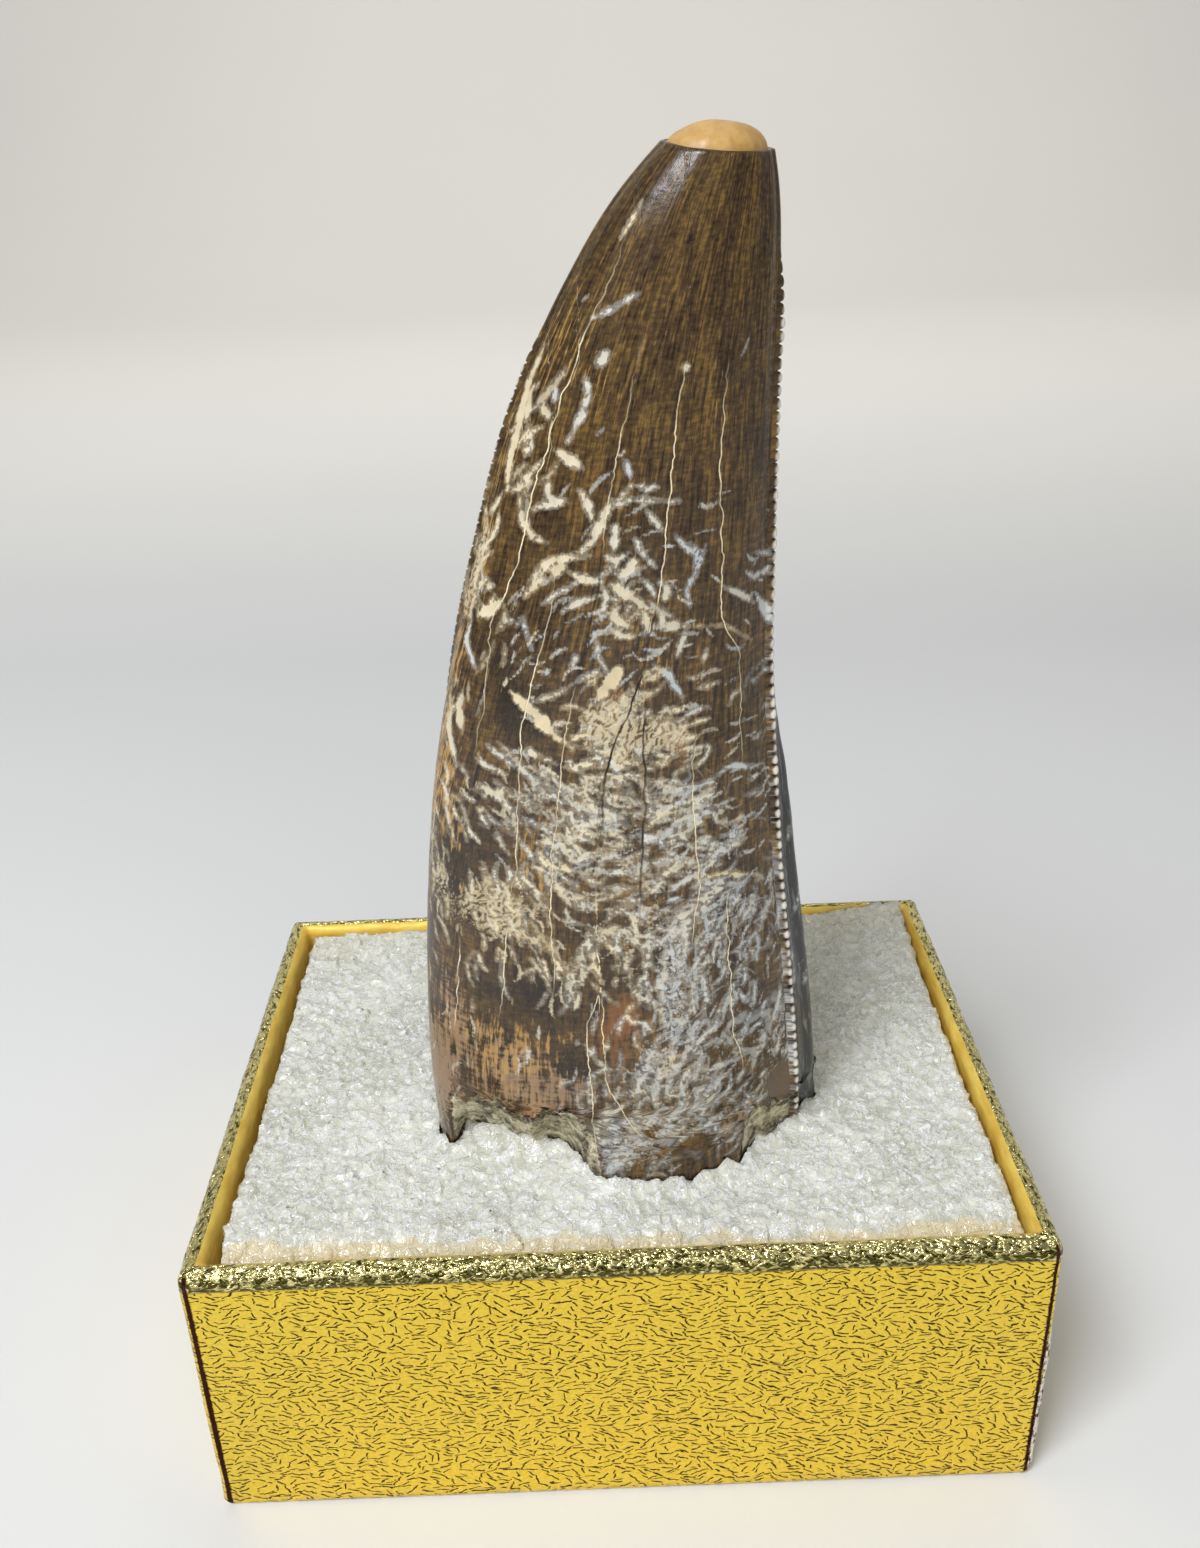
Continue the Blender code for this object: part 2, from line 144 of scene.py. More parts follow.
class Skin:
    """Collects a piece's points in millimetres, and its faces with their material numbers."""

    def __init__(self):
        self.points = []
        self.faces = []
        self.finish = []
        self.count = 0

    def add_points(self, points):
        points = np.asarray(points, float)
        self.points.append(points.reshape(-1, 3))
        ids = np.arange(self.count, self.count + len(self.points[-1]))
        self.count += len(ids)
        return ids.reshape(points.shape[:-1])

    def add_faces(self, faces, finish=0):
        faces = [list(map(int, face)) for face in faces]
        self.faces.extend(faces)
        self.finish.extend([finish] * len(faces))

    def add_grid(self, ids, finish=0, closed=False):
        """Quads between neighbours in a grid of point numbers; closed joins the last column to the first."""
        if closed:
            ids = np.concatenate([ids, ids[:, :1]], axis=1)
        quads = np.stack([ids[:-1, :-1], ids[:-1, 1:], ids[1:, 1:], ids[1:, :-1]], axis=-1)
        self.add_faces(quads.reshape(-1, 4).tolist(), finish)

    def zip_rows(self, one, one_at, other, other_at):
        """Triangles between two rows of points that have different spacing."""
        faces = []
        i = j = 0
        while i < len(one) - 1 or j < len(other) - 1:
            if j == len(other) - 1 or (i < len(one) - 1 and one_at[i + 1] <= other_at[j + 1]):
                faces.append((one[i], other[j], one[i + 1]))
                i += 1
            else:
                faces.append((one[i], other[j], other[j + 1]))
                j += 1
        self.add_faces(faces)

    def add_rings(self, ring, scales, lift, finish):
        """Closes a ring inwards by scales of it, which lift raises, with the material that finish gives."""
        points = self.all_points()[ring]
        centre = points.mean(axis=0)
        last = ring
        for scale in scales:
            inner = centre + (points - centre) * scale
            inner[:, 2] += lift(scale, inner)
            ids = self.add_points(inner)
            self.add_grid(np.stack([last, ids]), finish(scale), closed=True)
            last = ids
        middle = self.add_points(inner.mean(axis=0)[None])[0]
        after = np.roll(last, -1)
        self.add_faces([(a, b, middle) for a, b in zip(last, after)], finish(0.0))

    def all_points(self):
        return np.concatenate(self.points)

    def build(self, name, materials, sharp, numbers=None):
        """The finished object: faces out, smooth up to an angle, and with numbers for its materials."""
        mesh = bpy.data.meshes.new(name)
        places = self.all_points() * MM
        mesh.from_pydata(places.tolist(), [], self.faces)
        mesh.polygons.foreach_set("material_index", self.finish)
        for material in materials:
            mesh.materials.append(material)
        for key, values in (numbers or {}).items():
            values = np.asarray(values, np.float32)
            single = values.ndim == 1
            layer = mesh.attributes.new(key, "FLOAT" if single else "FLOAT_VECTOR", "POINT")
            layer.data.foreach_set("value" if single else "vector", values.ravel())
        bm = bmesh.new()
        bm.from_mesh(mesh)
        bmesh.ops.recalc_face_normals(bm, faces=bm.faces)
        if bm.calc_volume(signed=True) < 0:
            bmesh.ops.reverse_faces(bm, faces=bm.faces)
        bm.to_mesh(mesh)
        bm.free()
        mesh.shade_smooth()
        mesh.set_sharp_from_angle(angle=math.radians(sharp))
        mesh.update()
        piece = bpy.data.objects.new(name, mesh)
        bpy.context.scene.collection.objects.link(piece)
        return piece


# Materials

# Sockets go by number. Math nodes take their values in order. Map Range takes a value, the two ends that
# it comes from and the two that it goes to, which start as 0, 1, 0 and 1. A colour Mix takes its share at 0
# and its colours at 6 and 7, and gives its colour at 2.
EASED = {"interpolation_type": "SMOOTHSTEP"}
IN_COLOUR = {"output": 2, "data_type": "RGBA"}


def add(tree, kind, sockets=None, output=0, stops=None, **settings):
    """Adds a node with its settings and links, and returns one of its outputs."""
    node = tree.nodes.new(kind)
    for key, value in settings.items():
        setattr(node, key, value)
    for key, value in (sockets or {}).items():
        if isinstance(value, bpy.types.NodeSocket):
            tree.links.new(value, node.inputs[key])
        else:
            node.inputs[key].default_value = value
    for index, (place, colour) in enumerate(stops or ()):
        marks = node.color_ramp.elements
        mark = marks[index] if index < len(marks) else marks.new(place)
        mark.position = place
        mark.color = colour
    return node.outputs[output]


def layered(tree, total, *layers):
    """A pattern with other patterns added to it, each with its own strength."""
    for pattern, strength in layers:
        total = add(tree, MATH, {0: pattern, 1: strength, 2: total}, operation="MULTIPLY_ADD")
    return total


def coated(tree, colour, coats):
    """A colour under coats laid one over the other, each with the share that it covers."""
    for share, coat in coats:
        colour = add(tree, MIX, {0: share, 6: colour, 7: coat}, **IN_COLOUR)
    return colour


def start_material(name, values):
    """A material with its shader's plain values set, with its node tree and its shader."""
    material = bpy.data.materials.new(name)
    material.use_nodes = True
    shader = material.node_tree.nodes["Principled BSDF"]
    for key, value in values.items():
        shader.inputs[key].default_value = value
    return material, material.node_tree, shader


def link(tree, shader, **outputs):
    for key, output in outputs.items():
        tree.links.new(output, shader.inputs[key.replace("_", " ")])


# The tooth's form, in millimetres

# From the broken root end up to the worn tip, as in the solid: height, leading edge x, trailing edge x,
# centre line y, front swell, back swell, and the form of the leading and the trailing half, where 0.5 is
# an ellipse and 1 is a lens
STATIONS = np.array(
    [
        (12.0, -12.8, 15.9, -7.2, 7.4, 6.4, 0.54, 0.76),
        (22.0, -13.2, 15.7, -7.1, 7.8, 6.8, 0.55, 0.76),
        (29.0, -13.4, 15.3, -7.0, 7.6, 6.6, 0.56, 0.76),
        (36.0, -13.1, 14.5, -7.0, 7.2, 6.2, 0.57, 0.76),
        (44.0, -12.4, 13.4, -7.0, 6.7, 5.8, 0.58, 0.76),
        (52.0, -11.3, 12.3, -6.9, 6.1, 5.3, 0.60, 0.76),
        (60.0, -9.6, 11.4, -6.7, 5.5, 4.8, 0.62, 0.76),
        (68.0, -7.4, 11.1, -6.5, 4.9, 4.3, 0.63, 0.75),
        (76.0, -4.8, 11.1, -6.2, 4.3, 3.8, 0.63, 0.74),
        (83.0, -1.3, 11.2, -5.9, 3.7, 3.3, 0.61, 0.70),
        (88.0, 2.1, 11.0, -5.7, 3.2, 2.8, 0.58, 0.64),
        (92.0, 6.0, 10.3, -5.6, 2.5, 2.2, 0.55, 0.56),
    ]
)
YAW = 0.05
TRAILING_PATH = np.array([(12, 32), (30, 31), (45, 28), (53, 23), (60, 17), (67, 9), (75, 3), (92, 0)], float)
LEADING_PATH = np.array([(12, 218), (35, 214), (50, 203), (60, 190), (67, 182), (92, 180)], float)
KEEL = 0.15
KEEL_HALF_WIDTH = 0.42
EDGE_GAP = 0.12  # between a keel's foot and the first column of a face
# Denticles on each cutting edge: pitch, height, and the heights where the row starts and ends
TRAILING_ROW = (0.79, 0.35, 21.0, 85.0)
LEADING_ROW = (0.72, 0.24, 44.0, 81.0)
FADE = 3.0  # over which a row of denticles dies out
ROOT_LEVEL = 12.8
ROOT_ROUGHNESS = 0.7
ROOT_WAVES = ((0.5, 3, 0.7), (0.3, 7, 2.1), (0.2, 13, 0.0))  # strength, waves in a turn, phase
ROOT_SCALES = (0.93, 0.85, 0.7, 0.5, 0.25)
PULP_DEPTH = 2.2
TIP_LEVEL = 90.15
TIP_CENTRE_X = 7.6
TIP_SLOPE_X = -0.10
TIP_SLOPE_Y = 0.08
TIP_DOME = 1.3
TIP_SKEW = 0.2
TIP_GROOVE = 0.885  # where a fine groove parts the enamel from the worn dentine, as a share of the way out
TIP_SCALES = (
    0.985, 0.965, 0.945, 0.925, 0.905, TIP_GROOVE, 0.865, 0.84, 0.80, 0.74, 0.66, 0.56, 0.45, 0.33, 0.2, 0.1
)
# Breaks at the foot of the front: x where each starts, is full, begins to end and ends, its top and its depth
BREAKS = ((-12.2, -10.9, -4.5, -0.4, 28.6, 3.6), (8.6, 10.6, 17.0, 18.0, 26.0, 1.6))
BREAK_HEIGHT = 5.5
BREAK_STEP = 0.5
TOOTH_MIDDLE = np.array((1.5, -6.7))
CROWN_WIDTH = 30.0  # the pattern of growth lines is drawn on a fan that is this wide at the root

FRONT_ROWS, FRONT_COLUMNS = 360, 168
BACK_ROWS, BACK_COLUMNS = 230, 96
ROWS_PER_DENTICLE = 8
STRIP = np.array([-1.0, -0.68, -0.36, 0.0, 0.36, 0.68, 1.0])  # across a cutting edge, in keel half widths
SCAR_X, SCAR_Z = 12.4, 27.6  # the middle of a flat brown scar
SCAR_HALF_WIDTH, SCAR_HALF_HEIGHT, SCAR_DEPTH = 1.25, 1.7, 0.22
ENAMEL, DENTINE, ROCK = range(3)  # the tooth's materials by number

# What is carved into the faces
FLUTES, FLUTE_LENGTH, FLUTE_DEPTH = 13, 16.0, 0.045
ETCHING_DEPTH = 0.045
CRACK_DEPTH, CRACK_HALF_WIDTH = 0.06, 0.14
FOLD_START, FOLD_FULL, FOLD_HEIGHT = 62, 50, 0.16  # the long folds of the back begin and are full at heights
BREAK_ROUGHNESS = 0.30
MARKS_LOW, MARKS_HIGH = 22.0, 88.0  # heights between which marks are scattered
SAMPLES_IN_MARK = 14
CHORD = 26.0  # from one cutting edge to the other
FROM_END = 9.0  # what the tip and the root end count as, from either cutting edge
BACK_SHIFT = 40.0  # moves the back's growth lines away from the front's


def break_depth(x, z):
    """How far a broken place lies behind the enamel's own surface."""
    depth = np.zeros(np.broadcast(x, z).shape)
    jag = 0.45 * np.sin(1.3 * x + 0.6) + 0.25 * np.sin(3.7 * x + 1.0) + 0.15 * np.sin(9.1 * x + 2.0)
    for start, full, stop, end, top, deepest in BREAKS:
        below = top + jag - z
        across = smooth(start, full, x) * (1 - smooth(stop, end, x))
        down = np.minimum(below / BREAK_HEIGHT, 1.0)
        hollowed = across * (BREAK_STEP + (deepest - BREAK_STEP) * down)
        depth = np.maximum(depth, np.where(below > 0, hollowed, 0))
    return depth


def from_scar(x, z):
    """How far a place is from the scar's middle: 1 on its rim."""
    return np.hypot((x - SCAR_X) / SCAR_HALF_WIDTH, (z - SCAR_Z) / SCAR_HALF_HEIGHT)


def section_at(angle, z):
    """Points of the crown's outline at heights. The angle runs from the trailing side over the front."""
    values = [read_curve(STATIONS, column, z) for column in range(1, STATIONS.shape[1])]
    lead, trail, centre_y, front, back, lead_form, trail_form = values
    side = np.where(np.sin(angle) >= 0, -1.0, 1.0)
    swell = np.where(side < 0, front, back)
    form = lead_form + (trail_form - lead_form) * smooth(-0.5, 0.7, np.cos(angle))
    across = (trail - lead) / 2 * np.cos(angle)
    x = (trail + lead) / 2 + across
    y = side * swell * np.abs(np.sin(angle)) ** (2 * form)
    y = np.where(side < 0, np.minimum(y + break_depth(x, z), 0.0), y)
    return np.stack([x, centre_y + YAW * across + y, z + 0 * x], axis=-1)


def crown_at(angle, t):
    """Points of the crown from t = 0 at the root's uneven edge to t = 1 at the worn tip."""
    tip = section_at(angle, np.full(np.shape(angle), TIP_LEVEL))
    low = ROOT_LEVEL + ROOT_ROUGHNESS * sum(s * np.sin(n * angle + p) for s, n, p in ROOT_WAVES)
    high = TIP_LEVEL + TIP_SLOPE_X * (tip[..., 0] - TIP_CENTRE_X)
    high = high + TIP_SLOPE_Y * (tip[..., 1] - STATIONS[-1, 3])
    return section_at(angle, low + (high - low) * t)


def edge_angle(path, t):
    """Where a cutting edge lies round the section at t."""
    return np.radians(np.interp(ROOT_LEVEL + (TIP_LEVEL - ROOT_LEVEL) * t, path[:, 0], path[:, 1]))


def face_grid(start_path, end_path, turn, rows, columns):
    """One face between the cutting edges: points, and distances from its start and from its end."""
    t = np.linspace(0, 1, rows)[:, None]
    share = np.linspace(0, 1, 4 * columns)[None]
    start = edge_angle(start_path, t)
    angles = start + (edge_angle(end_path, t) + turn - start) * share
    fine = crown_at(angles, t)
    steps = np.linalg.norm(np.diff(fine, axis=1), axis=2)
    run = np.concatenate([np.zeros((rows, 1)), np.cumsum(steps, axis=1)], axis=1)
    edge = KEEL_HALF_WIDTH + EDGE_GAP
    from_start = edge + (run[:, -1:] - 2 * edge) * np.linspace(0, 1, columns)[None]
    spaced = np.stack([np.interp(from_start[k], run[k], angles[k]) for k in range(rows)])
    return t[:, 0], crown_at(spaced, t), from_start, run[:, -1:] - from_start


def edge_strip(path, row):
    """The keel along a cutting edge with its rounded denticles: row places, points and bead heights."""
    pitch, rise, low, high = row
    span = TIP_LEVEL - ROOT_LEVEL
    count = int((high - low) / pitch)
    phase = np.tile(np.arange(ROWS_PER_DENTICLE) / ROWS_PER_DENTICLE, count)
    beads = low + (np.repeat(np.arange(count), ROWS_PER_DENTICLE) + phase) * pitch
    plain = np.linspace(ROOT_LEVEL, TIP_LEVEL, FRONT_ROWS)
    plain = plain[(plain <= low) | (plain >= beads[-1] + pitch / ROWS_PER_DENTICLE)]
    z = np.concatenate([beads, plain])
    order = np.argsort(z)
    shape = np.concatenate([1 - np.abs(2 * phase - 1) ** 2.4, np.zeros(len(plain))])[order]
    z = z[order]
    t = (z - ROOT_LEVEL) / span
    angle = edge_angle(path, t)
    point = crown_at(angle, t)
    probe = 0.02
    along = crown_at(angle + probe, t) - crown_at(angle - probe, t)
    along /= np.linalg.norm(along, axis=1, keepdims=True)
    outward = np.stack([-along[:, 1], along[:, 0], 0 * z], axis=1)
    inside = point - section_at(angle + np.pi, z)
    outward *= np.sign(np.einsum("ij,ij->i", outward[:, :2], inside[:, :2]))[:, None]
    fade = smooth(low, low + FADE, z) * (1 - smooth(high - FADE, high, z))
    wear = 0.85 + 0.15 * soft_noise(np.stack([z / pitch * 0.9, 0 * z, 0 * z], axis=1), 41)
    keel = KEEL * smooth(low - FADE, low, z)
    bead = rise * fade * wear * np.sqrt(shape)
    across = STRIP[None, :, None]
    lift = keel[:, None] * (1 - STRIP**2) + bead[:, None] * np.clip(1 - np.abs(STRIP / 0.85) ** 3, 0, None)
    points = point[:, None] + across * KEEL_HALF_WIDTH * along[:, None] + outward[:, None] * lift[..., None]
    return t, points, bead[:, None] / rise * (1 - np.abs(STRIP)) ** 0.5


# Marks on the tooth's faces, each placed by x and height in millimetres

# Cracks along the tooth: x, height, and ink from -1, dark, through 0, closed, to 1, filled with pale mineral
CRACKS = (
    ((3.0, 87.3, 0), (0.5, 82.1, 0.3), (-0.4, 80.2, 0.9), (-1.8, 77.0, 0.9), (-4.0, 70.8, 1),
     (-4.8, 67.6, 0.9), (-6.6, 63.8, 1), (-7.6, 57.7, 0.5), (-8.4, 55.0, 0), (-10.2, 42.0, 0),
     (-10.3, 40.2, 0.8), (-10.9, 35.3, 0.8), (-11.0, 34.0, 0)),
    ((-2.4, 67.5, 0), (-3.2, 63.8, 0.9), (-5.0, 57.7, 1), (-5.5, 52.9, 0.8), (-6.0, 47.5, 0.6),
     (-6.4, 44.8, 0), (-7.0, 41.8, 0.8), (-7.3, 38.3, 1), (-7.8, 36.2, 0)),
    ((3.1, 81.0, 0), (1.6, 75.0, 0.5), (0.5, 70.2, 0.6), (0.0, 66.5, -0.5), (-0.9, 62.4, -0.4),
     (-2.4, 56.9, 0.8), (-3.5, 49.1, 0.6), (-3.8, 45.0, 0.7), (-3.8, 40.2, 0.5), (-4.0, 38.0, 0)),
    ((5.5, 79.2, 0), (5.1, 77.2, 1), (4.6, 73.3, 1), (4.0, 67.6, 1), (3.6, 65.4, 0.8), (3.4, 64.3, -1),
     (2.5, 60.8, -1), (1.6, 58.4, -1), (0.7, 56.3, -1), (0.0, 54.2, -0.8), (-0.2, 52.1, -0.6),
     (-0.8, 45.0, 0.8), (-0.7, 38.8, 1), (-1.7, 36.4, 1), (-1.6, 29.3, 0.9), (-1.3, 23.9, 0.6)),
    ((2.7, 59.5, 0), (2.6, 57.5, -0.7), (2.6, 52.8, -0.9), (2.2, 46.8, -0.7), (2.1, 45.0, 0)),
    ((5.8, 57.2, 0), (5.7, 51.9, 0.9), (6.1, 46.0, 1), (5.6, 42.4, 0.5), (5.6, 41.4, 0)),
    ((8.0, 79.2, 0), (7.5, 73.4, 1), (7.7, 68.6, 1), (7.6, 63.6, 1), (8.8, 61.0, 0.8), (9.1, 54.4, 0.6),
     (8.9, 53.0, 0), (8.1, 45.0, 0), (8.0, 43.8, 1), (8.5, 33.4, 1), (9.2, 31.2, 0.8), (9.2, 27.7, -1),
     (9.2, 27.0, 0)),
    ((-0.6, 38.6, 0), (-0.6, 37.6, 0.8), (-0.5, 31.0, 1), (1.4, 27.3, 0.8), (2.4, 25.8, 0)),
)
BACK_CRACKS = (
    ((-8.5, 71.0, 0), (-9.0, 64.0, 1), (-9.8, 52.0, 0.9), (-10.2, 38.0, 0.8), (-10.0, 22.0, 0.6)),
    ((0.5, 84.0, 0), (-2.0, 76.0, 1), (-4.2, 66.0, 1), (-5.3, 55.0, -0.8), (-5.8, 45.0, 0.8),
     (-5.4, 30.0, 1)),
    ((5.0, 80.0, 0), (3.6, 72.0, 0.9), (2.2, 61.0, 1), (0.6, 50.0, -1), (0.2, 40.0, 0.9), (1.0, 24.0, 1)),
    ((8.6, 76.0, 0), (8.0, 66.0, 0.9), (7.4, 56.0, 1), (6.2, 47.0, 0.8), (6.6, 38.0, 0)),
)
# Marks etched by roots and dissolved mineral: half width, tone (0 cream, 1 frosted white), then the path
ETCHED = (
    (0.28, 0.05, ((-2.6, 79.9), (-3.6, 77.9), (-4.1, 76.3), (-4.6, 74.6), (-5.1, 72.9), (-5.2, 71.7))),
    (0.22, 0.1, ((-4.5, 71.4), (-4.4, 70.2), (-3.9, 69.3), (-3.0, 69.0))),
    (0.13, 0.1, ((-5.6, 74.4), (-6.2, 72.3), (-6.7, 70.7), (-6.5, 68.9))),
    (0.15, 0.1, ((-6.4, 68.9), (-7.2, 67.2), (-7.6, 65.7), (-7.2, 64.7))),
    (0.10, 0.2, ((-7.9, 67.0), (-8.3, 65.4), (-8.6, 64.1))),
    (0.30, 0.05, ((-3.8, 77.7), (-3.6, 76.9), (-3.9, 75.8))),
    (0.36, 0.15, ((-3.0, 76.8), (-2.5, 76.1))),
    (0.14, 0.8, ((-2.0, 77.6), (-2.2, 77.0))),
    (0.12, 0.4, ((-3.8, 75.3), (-3.6, 74.7), (-3.8, 73.9))),
    (0.16, 0.2, ((-3.0, 73.7), (-3.8, 72.8), (-4.6, 71.6))),
    (0.24, 0.3, ((-2.7, 72.4), (-2.8, 71.8), (-2.3, 71.3), (-1.7, 71.5))),
    (0.16, 0.3, ((-3.8, 70.8), (-3.0, 71.2), (-2.1, 71.2))),
    (0.18, 0.6, ((-0.3, 78.5), (-0.2, 77.4), (-0.7, 76.1), (-1.5, 74.8))),
    (0.26, 0.2, ((-2.2, 74.3), (-1.5, 73.9), (-0.7, 73.4))),
    (0.28, 0.5, ((0.4, 79.0), (1.0, 79.8))),
    (0.12, 0.7, ((0.2, 81.5), (1.4, 82.1), (2.9, 82.9))),
    (0.20, 0.1, ((5.3, 78.8), (5.6, 78.7))),
    (0.20, 0.3, ((-0.9, 72.1), (-0.5, 71.5), (-0.2, 70.4))),
    (0.22, 0.25, ((1.0, 71.5), (0.4, 70.4), (-0.3, 69.1), (-0.9, 68.5))),
    (0.13, 0.3, ((2.2, 72.4), (1.5, 71.6), (0.9, 71.0))),
    (0.13, 0.9, ((1.9, 73.8), (2.1, 72.8))),
    (0.13, 0.5, ((2.5, 72.3), (3.1, 72.1), (3.7, 72.2))),
    (0.12, 0.5, ((1.0, 71.1), (2.2, 71.5), (3.5, 71.4), (5.1, 71.2))),
    (0.14, 0.5, ((3.0, 70.8), (3.5, 70.2), (4.0, 69.6))),
    (0.18, 0.5, ((1.2, 70.1), (1.0, 68.6))),
    (0.13, 0.6, ((2.3, 69.3), (2.6, 68.5), (3.5, 67.4))),
    (0.20, 0.3, ((0.5, 68.2), (1.1, 68.0), (1.2, 67.5))),
    (0.26, 0.3, ((2.3, 68.0), (1.8, 67.3), (1.2, 66.8))),
    (0.12, 0.9, ((4.7, 69.2), (5.6, 68.2), (6.6, 68.0))),
    (0.15, 1.0, ((6.6, 68.3), (6.0, 66.8), (5.4, 65.8), (5.6, 64.6))),
    (0.20, 0.15, ((-4.3, 66.3), (-3.6, 67.3), (-2.6, 68.0), (-0.4, 68.3))),
    (0.42, 0.05, ((-2.7, 67.2), (-1.9, 67.8))),
    (0.22, 0.05, ((-4.5, 65.6), (-3.9, 66.3), (-3.2, 66.9))),
    (0.18, 0.2, ((-1.7, 67.3), (-0.9, 66.9), (0.3, 66.7))),
    (0.20, 0.4, ((-2.2, 64.9), (-1.4, 65.4), (-0.2, 65.8))),
    (0.16, 0.5, ((0.2, 66.5), (0.5, 65.9), (0.1, 64.4))),
    (0.32, 0.2, ((0.8, 66.6), (1.8, 65.8), (3.1, 64.9))),
    (0.22, 0.3, ((4.2, 66.2), (4.0, 65.4))),
    (0.26, 0.2, ((1.1, 65.4), (0.9, 64.5), (2.0, 63.8))),
    (0.20, 0.2, ((0.7, 63.8), (1.3, 63.4), (2.1, 63.3))),
    (0.22, 0.2, ((2.7, 64.8), (3.1, 63.4))),
    (0.24, 0.35, ((3.8, 64.7), (3.9, 63.8), (5.6, 63.5))),
    (0.15, 0.5, ((5.3, 63.2), (4.7, 61.6))),
    (0.06, 0.0, ((5.6, 63.5), (7.9, 63.0), (9.7, 61.5))),
    (0.16, 0.6, ((7.6, 65.6), (8.7, 64.9), (9.9, 63.9))),
    (0.20, 0.9, ((9.3, 66.0), (9.9, 65.5), (11.1, 65.7))),
    (0.30, 0.9, ((10.1, 64.1), (10.8, 62.9), (11.1, 61.5))),
    (0.35, 0.1, ((-7.4, 64.1), (-5.9, 65.2))),
    (0.16, 0.7, ((-8.0, 63.4), (-8.4, 62.2), (-7.8, 60.5))),
    (0.38, 0.15, ((-8.8, 59.1), (-9.2, 57.5), (-9.0, 56.4))),
    (0.26, 0.3, ((-9.6, 58.1), (-10.0, 56.2), (-9.6, 54.3))),
    (0.22, 0.3, ((-10.2, 52.3), (-10.5, 50.8), (-10.3, 49.7))),
    (0.11, 0.9, ((-4.7, 64.3), (-4.2, 62.4))),
    (0.22, 0.6, ((-1.4, 62.2), (-1.8, 61.5))),
    (0.15, 0.6, ((-0.2, 63.2), (-0.1, 62.2), (0.4, 61.1))),
    (0.08, 0.1, ((-0.9, 60.7), (-0.5, 61.0), (0.1, 61.0))),
    (0.50, 0.0, ((1.2, 61.4), (-0.2, 59.5))),
    (0.38, 0.0, ((-5.6, 59.6), (-4.2, 58.4), (-2.6, 56.7))),
    (0.14, 0.5, ((9.0, 58.5), (8.4, 58.3), (8.1, 57.6))),
    (0.15, 0.5, ((6.7, 61.8), (6.4, 61.0))),
    (0.18, 1.0, ((3.2, 61.4), (4.2, 60.6), (5.1, 58.9))),
    (0.18, 0.4, ((-8.2, 54.9), (-7.3, 54.5), (-6.2, 54.2))),
    (0.14, 0.6, ((-7.4, 56.0), (-5.7, 54.8))),
    (0.22, 0.3, ((-4.8, 56.1), (-4.2, 55.6))),
    (0.34, 0.2, ((-8.0, 53.2), (-7.0, 52.7), (-6.4, 53.2))),
    (0.15, 0.9, ((7.2, 53.2), (8.3, 53.6), (10.2, 52.8))),
    (0.10, 0.4, ((4.1, 53.1), (4.5, 53.2), (4.6, 53.7))),
    (0.13, 0.0, ((2.3, 50.4), (3.5, 51.3), (5.5, 51.6))),
    (0.14, 0.0, ((5.8, 46.5), (8.0, 46.1), (10.4, 45.0))),
)
# Where marks are dense, on the front: x, height, reach across, reach along, strength and tone
DENSE = (
    (0.8, 57.2, 3.4, 3.4, 1.0, 0.15), (4.4, 56.6, 1.8, 1.8, 0.6, 0.2), (-7.2, 44.6, 4.6, 3.8, 0.8, 0.05),
    (-5.0, 51.5, 4.5, 3.6, 0.65, 0.4), (0.5, 51.0, 5.0, 4.2, 0.85, 0.45), (5.5, 49.0, 4.0, 3.2, 0.5, 0.75),
    (1.0, 43.0, 4.0, 5.0, 0.7, 0.3), (4.3, 39.0, 2.2, 8.0, 0.95, 0.65), (8.8, 42.5, 4.0, 5.0, 0.65, 0.9),
    (9.5, 35.5, 4.5, 5.0, 0.5, 1.0), (7.0, 29.5, 6.0, 4.5, 0.6, 0.85), (1.5, 30.5, 4.5, 4.5, 0.5, 0.5),
    (0.5, 25.5, 3.0, 3.0, 0.8, 0.9), (-5.5, 66.5, 2.0, 4.0, 0.18, 0.4),
    (1.0, 65.5, 4.0, 2.8, 0.18, 0.6), (-6.5, 62.0, 2.0, 4.0, 0.20, 0.4), (-3.5, 38.0, 5.0, 3.5, 0.25, 0.3),
    (-8.0, 31.0, 5.0, 5.0, 0.06, 0.2), (10.4, 60.0, 1.0, 5.0, 0.45, 0.9), (-11.9, 48.0, 0.9, 9.0, 0.8, 0.2),
    (-10.2, 60.0, 1.0, 6.0, 0.9, 0.1), (-7.6, 68.5, 1.0, 5.0, 0.9, 0.0), (-5.0, 75.5, 0.8, 4.0, 0.7, 0.0),
)
# Where thin wisps feather out between the marks, in the same way
WISPS = (
    (0.5, 52.0, 6.0, 5.0, 0.55, 0.35), (6.5, 49.5, 4.5, 3.5, 0.6, 0.8), (-5.0, 52.0, 4.5, 4.0, 0.4, 0.4),
    (1.0, 44.0, 4.5, 5.0, 0.5, 0.4), (8.5, 42.0, 4.5, 6.0, 0.5, 1.0), (8.0, 33.0, 5.0, 6.0, 0.45, 1.0),
    (3.0, 29.0, 5.0, 6.0, 0.5, 0.8), (-7.0, 44.0, 4.5, 4.0, 0.35, 0.1), (1.5, 62.5, 5.0, 4.0, 0.35, 0.7),
    (-5.0, 62.0, 2.0, 6.0, 0.35, 0.5), (0.0, 67.5, 6.0, 4.5, 0.25, 0.7), (-11.5, 45.0, 1.5, 12.0, 0.4, 0.3),
    (10.3, 62.0, 1.2, 7.0, 0.3, 0.9), (-7.0, 33.0, 6.0, 5.0, 0.12, 0.2),
)
